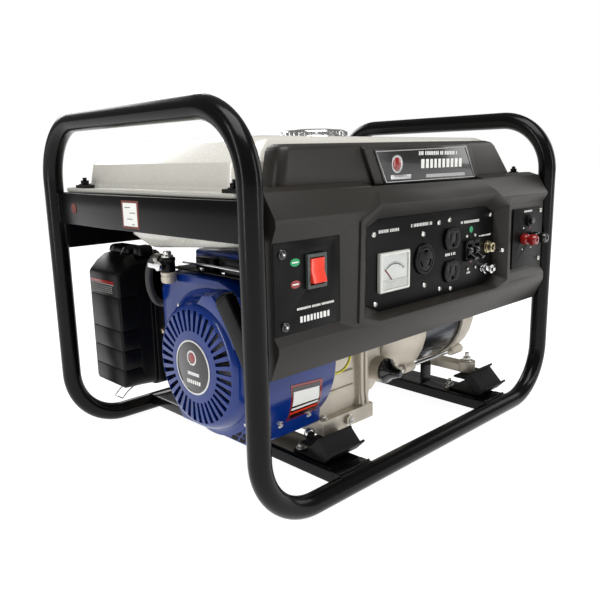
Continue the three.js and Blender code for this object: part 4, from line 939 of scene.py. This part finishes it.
def recoil():
    """The pull-start cover: a shallow dome with fine radial slots, an arm for the grip and a badge."""
    base = RECOIL_X
    at = (base, *CRANK[1:])
    bm = bmesh.new()
    outer = [(0, 0), (87, 0), (87, 2.6), (81.6, 3.6), (78.6, 6), (76.4, 12), (74, 18), (70.6, 22.6),
        (67, 24.8), (60, 25.6), (42, 26.6), (36, 27.4), (0, 27.6)]
    lathe(bm, outer, at, LEFT, 96)
    cut = bmesh.new()
    lathe(cut, [(0, -1), (77, -1), (75, 4), (73, 12), (70, 18.4), (65.6, 21.6), (60, 22.6), (36, 24.2),
        (0, 24.4)], at, LEFT, 96)
    for k in range(36):
        t = 2 * pi * (k + 0.5) / 36
        along = Vector((0, cos(t), sin(t)))
        across = Vector((0, -sin(t), cos(t)))
        section = [Vector(at) + along * r + across * w for r, w in ((42, -1.9), (42, 1.9), (66.4, 3.1),
            (66.4, -3.1))]
        skin(cut, [[point + Vector((-d, 0, 0)) for point in section] for d in (15, 40)])
    piece("recoil_dome", bm, BLUE, replaces="recoil_cover", cut=cut, bevel=0.45, angle=34)

    arm = [(-45, 205), (-74, 235), (-94, 237), (-107, 226), (-133, 183), (-126, 140), (-90, 130)]
    cy, cz = -95, 188

    def tapered(bm, *levels):
        skin(bm, [[Vector((base - d, cy + s * (y - cy), cz + s * (z - cz))) for y, z in arm]
            for d, s in levels])
    bm = made(tapered, (0, 1.0), (12, 0.985), (20.6, 0.9))
    cut = made(tapered, (-1, 0.9), (17.6, 0.84))
    lathe(cut, [(0, -2), (79, -2), (77.2, 12), (75, 18.4), (72, 22.8), (60, 30), (0, 30)], at, LEFT, 64)
    piece("recoil_arm", bm, BLUE, cut=cut, bevel=3.0, segments=4, angle=40)

    piece("recoil_badge", made(disc, 31, 0, 0.7, (BADGE_X + 0.6, *CRANK[1:]), LEFT, 72), LABEL_BLACK,
        bevel=0.2)
    piece("recoil_badge_ring", made(lathe, [(30.0, 0), (32.2, -0.6), (32.2, 0.3), (31.4, 0.6),
        (30.0, 0.5), (30.0, 0)], (BADGE_X, *CRANK[1:]), LEFT, 72), SILVER)
    bm = bmesh.new()
    emblem = (BADGE_X, CRANK[1] + 1, CRANK[2] + 11)
    lathe(bm, [(6.6, 0), (8.8, 0), (8.8, 0.35), (6.6, 0.5), (6.6, 0)], emblem, LEFT, 40)
    box(bm, BADGE_X - 0.45, BADGE_X, -74, -52, 137.5, 141.5)
    piece("recoil_badge_emblem", bm, SILVER)
    piece("recoil_badge_stud", made(lathe, [(0, 0), (6.4, 0), (5, 0.35), (0, 0.45)], emblem, LEFT, 32),
        DEEP_RED)
    bm = bmesh.new()
    rng = random.Random(4)
    y = -50
    while y > -74:
        width = rng.uniform(2.2, 3.4)
        box(bm, BADGE_X - 0.4, BADGE_X, y - width, y, 127.5, 132)
        y -= width + 1.2
    piece("recoil_badge_marks", bm, WHITE)
    places = [off_crank(base - 0.2, 84.4, turn) for turn in CORNERS]
    piece("recoil_bolts", made(bolts, places, LEFT, 5, 2.2, 0.8), ZINC, bevel=0.2)


def grip():
    """The rubber pull handle, with a lip at its top and finger flats."""
    turn = Matrix.Rotation(radians(-34), 3, "X")
    middle = Vector((-262, -145, 205))
    stations = ((-42, 5.6, 9.6), (-40.8, 7, 11), (-36, 7.8, 12.6), (-30, 7.4, 12.2), (0, 7.2, 11.6),
        (30, 7.4, 11.8), (33.5, 7.8, 12.4), (34.5, 6.8, 11), (35.5, 6.8, 11), (36.5, 7.6, 11.6),
        (39, 6.6, 9.8), (40, 5.4, 8.6))
    rings = [[middle + turn @ point for point in ring_z(z, -x, x, -y, y, 4)] for z, x, y in stations]
    piece("starter_grip_soft", made(skin, rings), MOULDED, replaces="starter_grip", angle=50)


def crankcase():
    refined("crankcase", CAST, bevel=1.6, angle=40)
    refined("cylinder_head", CAST, bevel=0.5, segments=2)
    refined("rocker_cover", CAST, bevel=1.6)
    bm = made(bolt, (-82, -135, 50), FRONT, 9, 4.5, 1.8)
    bolts(bm, [(x, -128, 60) for x in (-120, -46)], UP, 7, 3, 1.2)
    piece("case_bolts", bm, ZINC, bevel=0.3)
    bm = bmesh.new()
    for x in (-57, -48):
        sweep(bm, [(x, -118, 214), (x, -131, 186), (x, -134.4, 160), (x, -134.6, 80),
            (x + 3, -134.6, 62)], 2.4, 16)
    for z in (92, 112, 132, 152):
        sweep(bm, [(-126, -128.4, z), (-66, -128.4, z)], 1.1, 10)
    piece("case_ribs", bm, CAST, angle=60)
    x, z = middle_of("oil_filler_cap").xz
    start = span("oil_filler_cap")[1].y - 9
    bm = bmesh.new()
    profile = [(0, -9), (10, -9), (10, 0.4), (16, 0.4), (16.5, 1.6), (16.5, 4.6), (15, 6.4), (12.6, 8),
        (9, 14), (6.6, 20), (5.2, 24.6), (3.6, 26.4), (0, 27)]
    lathe(bm, profile, (x, start, z), FRONT, 48)
    for t in around(14):
        centre = (x + 15.6 * cos(t), start - 0.6, z + 15.6 * sin(t))
        lathe(bm, [(0, 0), (1.3, 0), (1.3, 4.6), (0, 5.4)], centre, FRONT, 10)
    piece("oil_cap_cone", bm, GLOSS_BLACK, replaces="oil_filler_cap")
    route = [(-122, -138, 124), (-116, -141, 121), (-106, -143, 121), (-96, -144, 126),
        (-88, -143, 135), (-82, -140, 148), (-78, -137, 165), (-76, -135, 190)]
    piece("sensor_lead_round", made(sweep, smooth_path(route, 8), 1.5, 16), YELLOW,
        replaces="oil_sensor_lead", angle=60)


def under_tank():
    """Throttle rods, levers and the bolts that show between the tank and the shroud."""
    bm = bmesh.new()
    sweep(bm, [(-231, -128, 258), (-230, -60, 259), (-226, 2, 257)], 1.3, 12)
    sweep(bm, [(-205, -132, 252), (-180, -40, 253), (-168, 60, 242)], 1.0, 12)
    bolt(bm, (-216, -70, 250), UP, 8, 4, shank=6)
    bolt(bm, (-212, -20, 250), UP, 8, 4, shank=8)
    piece("throttle_rods", bm, CHROME)
    bm = bmesh.new()
    for extent in ((-226, -150, -128, 24, 247, 249.6), (-222, -219, -126, -64, 247, 268),
            (-206, -204, -110, -20, 247, 262), (-216, -196, -46, -10, 248, 264)):
        box(bm, *extent)
    piece("governor_bracket", bm, BLACK_ENAMEL, bevel=0.6)
    piece("cylinder_guide", made(box, -196, -150, -124, 20, 246, 269), BLUE, bevel=4)


def intake():
    refined("carburettor", CAST, bevel=0.6, segments=2)
    refined("choke_lever", ZINC, bevel=0.4)
    refined("air_cleaner_base", MOULDED, bevel=1.6)
    x, rim, y0, y1, z0, z1 = -253, -203, 116, 196, 76, 256
    bm = bmesh.new()
    skin(bm, [ring_x(at, y0 + side, y1 - side, z0 + bottom, z1 - top, r)
        for at, side, bottom, top, r in ((x, 4, 2, 25, 4), (x + 0.4, 2.4, 0.4, 23.4, 5),
        (x + 3, 0.4, -1.6, 20.4, 7), (x + 12, -0.4, -3, 10, 11), (x + 22, -1, -4, 2.6, 14),
        (x + 32, -1.6, -4.6, 0.6, 15), (rim - 4, -2.4, -5.4, 0.2, 15), (rim - 3.6, -3, -6, 0, 15),
        (rim, -3, -6, 0, 15))])
    cut = bmesh.new()
    for z in (200.5, 154.8, 127.4, 100.4):
        box(cut, x - 2, x + 1.1, y0 - 6, y1 + 6, z - 0.7, z + 0.7)
        box(cut, x - 2, x + 26, y0 - 6, y0 + 1.0, z - 0.7, z + 0.7)
        box(cut, x - 2, x + 26, y1 - 1.0, y1 + 6, z - 0.7, z + 0.7)
    piece("air_cleaner_lid", bm, MOULDED, replaces="air_cleaner_cover", cut=cut, bevel=0.5, angle=44)
    piece("air_label_red", made(box, x - 0.35, x + 0.2, 127, 192, 217.4, 221.4), DEEP_RED)
    bm = bmesh.new()
    rng = random.Random(12)
    box(bm, x - 0.4, x + 0.2, 127, 192, 215.8, 217.2)
    for k in range(4):
        z = 212.6 - k * 2.6
        y = 188 - rng.uniform(0, 3)
        while y > 134:
            width = rng.uniform(3, 9)
            box(bm, x - 0.3, x + 0.2, max(y - width, 132), y, z, z + 1.3)
            y -= width + 1.4
    piece("air_label_rows", bm, SOFT_GREY)
    bm = bmesh.new()
    for y in (148, 176):
        sweep(bm, rounded([(-206, y, 258), (-222, y, 263), (-230, y, 252)], 3, 6), 0.9, 12)
    sweep(bm, [(-230, 147.4, 252), (-230, 176.6, 252)], 0.9, 12)
    for y in (146, 166):
        sweep(bm, rounded([(-214, y, 71), (-234, y, 60), (-243, y, 52)], 3, 6), 0.9, 12)
    sweep(bm, [(-243, 145.4, 52), (-243, 166.6, 52)], 0.9, 12)
    piece("air_cleaner_clips", bm, CHROME)
    bm = bmesh.new()
    skin(bm, [ring_z(z, -224 + i, -199 - i, 136 + i, 190 - i, 5)
        for z, i in ((255.4, 0), (262, 1), (265, 4))])
    skin(bm, [ring_z(z, -222 + i, -199 - i, 108 + i, 128 - i, 4)
        for z, i in ((254, 0), (264, 1), (267, 3))])
    piece("air_cleaner_ears", bm, MOULDED, bevel=1.0)
    piece("air_base_bolt", made(bolt, (-196, 98, 150), LEFT, 8, 5), BRASS, bevel=0.3)


# ---- alternator
def alternator():
    refined("alternator_adaptor", CAST, bevel=0.7, segments=2)
    a, b = (corner.x for corner in span("stator"))
    r = 80
    profile = [(57, a), (r - 1, a), (r, a + 1), (r, b - 1), (r - 1, b), (57, b), (57, a)]
    piece("stator_ring", made(around_crank, profile, 96), LAMINATION, replaces="stator", angle=40)
    bm = bmesh.new()
    for turn in CORNERS:
        sweep(bm, [off_crank(x, 88, turn) for x in (a - 26, b + 30)], 2.6, 20)
        hexagon(bm, 9, 0, 5, off_crank(a - 23, 88, turn), LEFT)
        hexagon(bm, 9, 0, 4, off_crank(b + 27, 88, turn), RIGHT)
    piece("through_bolts", bm, CHROME, bevel=0.2)
    refined("alternator_end_bell", CAST, bevel=0.9)
    edge = span("alternator_end_cover")[0].x
    cover = [(r, edge + x) for r, x in ((0, 19.6), (58, 18.6), (63, 17), (66.4, 11), (69, 0), (66, 0),
        (60, 15.6), (0, 17.6))]
    bm = made(around_crank, cover, 80)
    cut = bmesh.new()
    for row in range(5):
        for side in (-1, 1):
            y0, y1 = sorted((CRANK[1] + side * 12, CRANK[1] + side * (50 - abs(row - 2) * 6)))
            z = CRANK[2] - 30 + row * 15
            box(cut, edge + 10, edge + 30, y0, y1, z - 2, z + 2)
    piece("end_cover_vented", bm, MOULDED, replaces="alternator_end_cover", cut=cut, bevel=0.6)
    places = [(188.4, CRANK[1] + y, 66) for y in (-76, 76)]
    piece("foot_bolts", made(bolts, places, UP, 11, 5, 1.6, 7), ZINC, bevel=0.3)


def underside():
    """Nuts on the cross members, the drain bolt and the steel that shows near the floor."""
    bm = made(bolts, [(x, y, 25.2) for x, y in ((164, -124), (178, -115))], UP, 8, 3.6, 1.2, 5)
    spots = ((-150, -118), (-108, -118), (-150, 40), (-108, 40), (176, 30))
    bolts(bm, [(x, y, 28.6) for x, y in spots], UP, 8, 3.6, 1.2, 3)
    piece("member_nuts", bm, ZINC, bevel=0.3)
    piece("drain_plug", made(lathe, [(0, 0), (7.2, 0), (7.2, 1.4), (6, 1.4), (6, 4), (4.6, 5.2),
        (0, 5.4)], (-140, -122, 46), (-0.45, -1, 0), 32), CHROME, bevel=0.2)


def plain_parts():
    """The muffler, and the parts inside the castings."""
    refined("muffler", MUFFLER, bevel=1.2)
    for node in ("piston", "crankshaft", "flywheel"):
        dress(node, STEEL)
    dress("rotor", LAMINATION)
    dress("spark_plug", PORCELAIN)


def rail_labels():
    x = span("left_tank_rail")[0].x
    piece("rail_label_edge", made(box, x - 0.25, x + 0.2, -11, 25.5, 302.6, 334), FADED)
    piece("rail_label_field", made(box, x - 0.45, x + 0.2, -7.6, 22.2, 305.2, 331.4), WHITE)
    bm = bmesh.new()
    for z, y0, y1 in ((307, -2, 4), (313, 2, 14), (320, -4, 8), (326, 6, 18)):
        box(bm, x - 0.6, x, y0, y1, z, z + 0.8)
    piece("rail_label_marks", bm, LABEL_BLACK)
    piece("rail_mark", made(disc, 6.5, 0, 0.4, (x, 145.6, 320), LEFT, 32), FADED)


# ---- stage, lights and camera
def floor():
    bpy.ops.mesh.primitive_plane_add(size=30, location=(0, 0, -0.0006))
    plane = bpy.context.object
    plane.name = "studio_floor"
    look = principled("studio_floor", Base_Color=(0.3, 0.3, 0.3, 1), Roughness=0.9,
        Emission_Color=(1, 1, 1, 1), Emission_Strength=0.96)
    plane.data.materials.append(look[0])


def area_light(name, place, target, size, power):
    data = bpy.data.lights.new(name, "AREA")
    data.energy = power
    data.shape = "RECTANGLE"
    data.size, data.size_y = size
    light = bpy.data.objects.new(name, data)
    light.location = place
    aim = Vector(target) - Vector(place)
    light.rotation_euler = aim.to_track_quat("-Z", "Y").to_euler()
    bpy.context.scene.collection.objects.link(light)


def studio_world():
    """A white sweep to look at, and a dimmer, softer surround that lights the object."""
    world = bpy.data.worlds.new("studio")
    world.use_nodes = True
    tree = world.node_tree
    surround = fill(tree.nodes["Background"], Color=(1.0, 0.99, 0.97, 1), Strength=0.22)
    sweep_white = fill(tree.nodes.new("ShaderNodeBackground"), Color=(1, 1, 1, 1))
    path = tree.nodes.new("ShaderNodeLightPath")
    mix = tree.nodes.new("ShaderNodeMixShader")
    tree.links.new(path.outputs["Is Camera Ray"], mix.inputs["Fac"])
    tree.links.new(surround.outputs["Background"], mix.inputs[1])
    tree.links.new(sweep_white.outputs["Background"], mix.inputs[2])
    tree.links.new(mix.outputs["Shader"], tree.nodes["World Output"].inputs["Surface"])
    bpy.context.scene.world = world
    bpy.context.scene.view_settings.view_transform = "Standard"


def lights():
    area_light("key_top", (-0.3, -0.6, 2.2), (0, 0, 0.2), (1.8, 1.4), 46)
    area_light("strip_left", (-2.0, 0.1, 0.8), (0, 0, 0.3), (0.16, 1.8), 11)
    area_light("strip_front", (0.9, -2.2, 0.9), (0, 0, 0.25), (0.3, 1.8), 12)
    area_light("fill_right", (2.3, -0.6, 1.0), (0, 0, 0.2), (1.2, 1.2), 8)
    area_light("rim_back", (0.4, 2.2, 1.4), (0, 0, 0.3), (1.8, 0.8), 22)
    studio_world()


def camera():
    data = bpy.data.cameras.new("camera")
    data.sensor_width = 36.0
    data.lens = 39.83
    data.clip_end = 50
    obj = bpy.data.objects.new("camera", data)
    yaw, pitch, roll = radians(46.02), radians(-12.0), radians(-1.229)
    forward = Vector((cos(pitch) * cos(yaw), cos(pitch) * sin(yaw), sin(pitch)))
    level = forward.cross(Vector((0, 0, 1))).normalized()
    upright = level.cross(forward)
    right = level * cos(roll) + upright * sin(roll)
    up = upright * cos(roll) - level * sin(roll)
    turn = Matrix((right, up, -forward)).transposed().to_4x4()
    obj.matrix_world = Matrix.Translation((-0.6767, -0.6577, 0.3760)) @ turn
    bpy.context.scene.collection.objects.link(obj)
    bpy.context.scene.camera = obj


for build in (camera, floor, lights, frame_tubes, rails, mounts, rail_labels, fascia, cowl, cowl_plate,
        meter, round_outlet, duplex, breakers, selector, ground_post, switch_pocket, dc_pocket, tank,
        cap, fuel_cock, hose, shroud, recoil, grip, crankcase, under_tank, intake, alternator,
        underside, plain_parts):
    build()
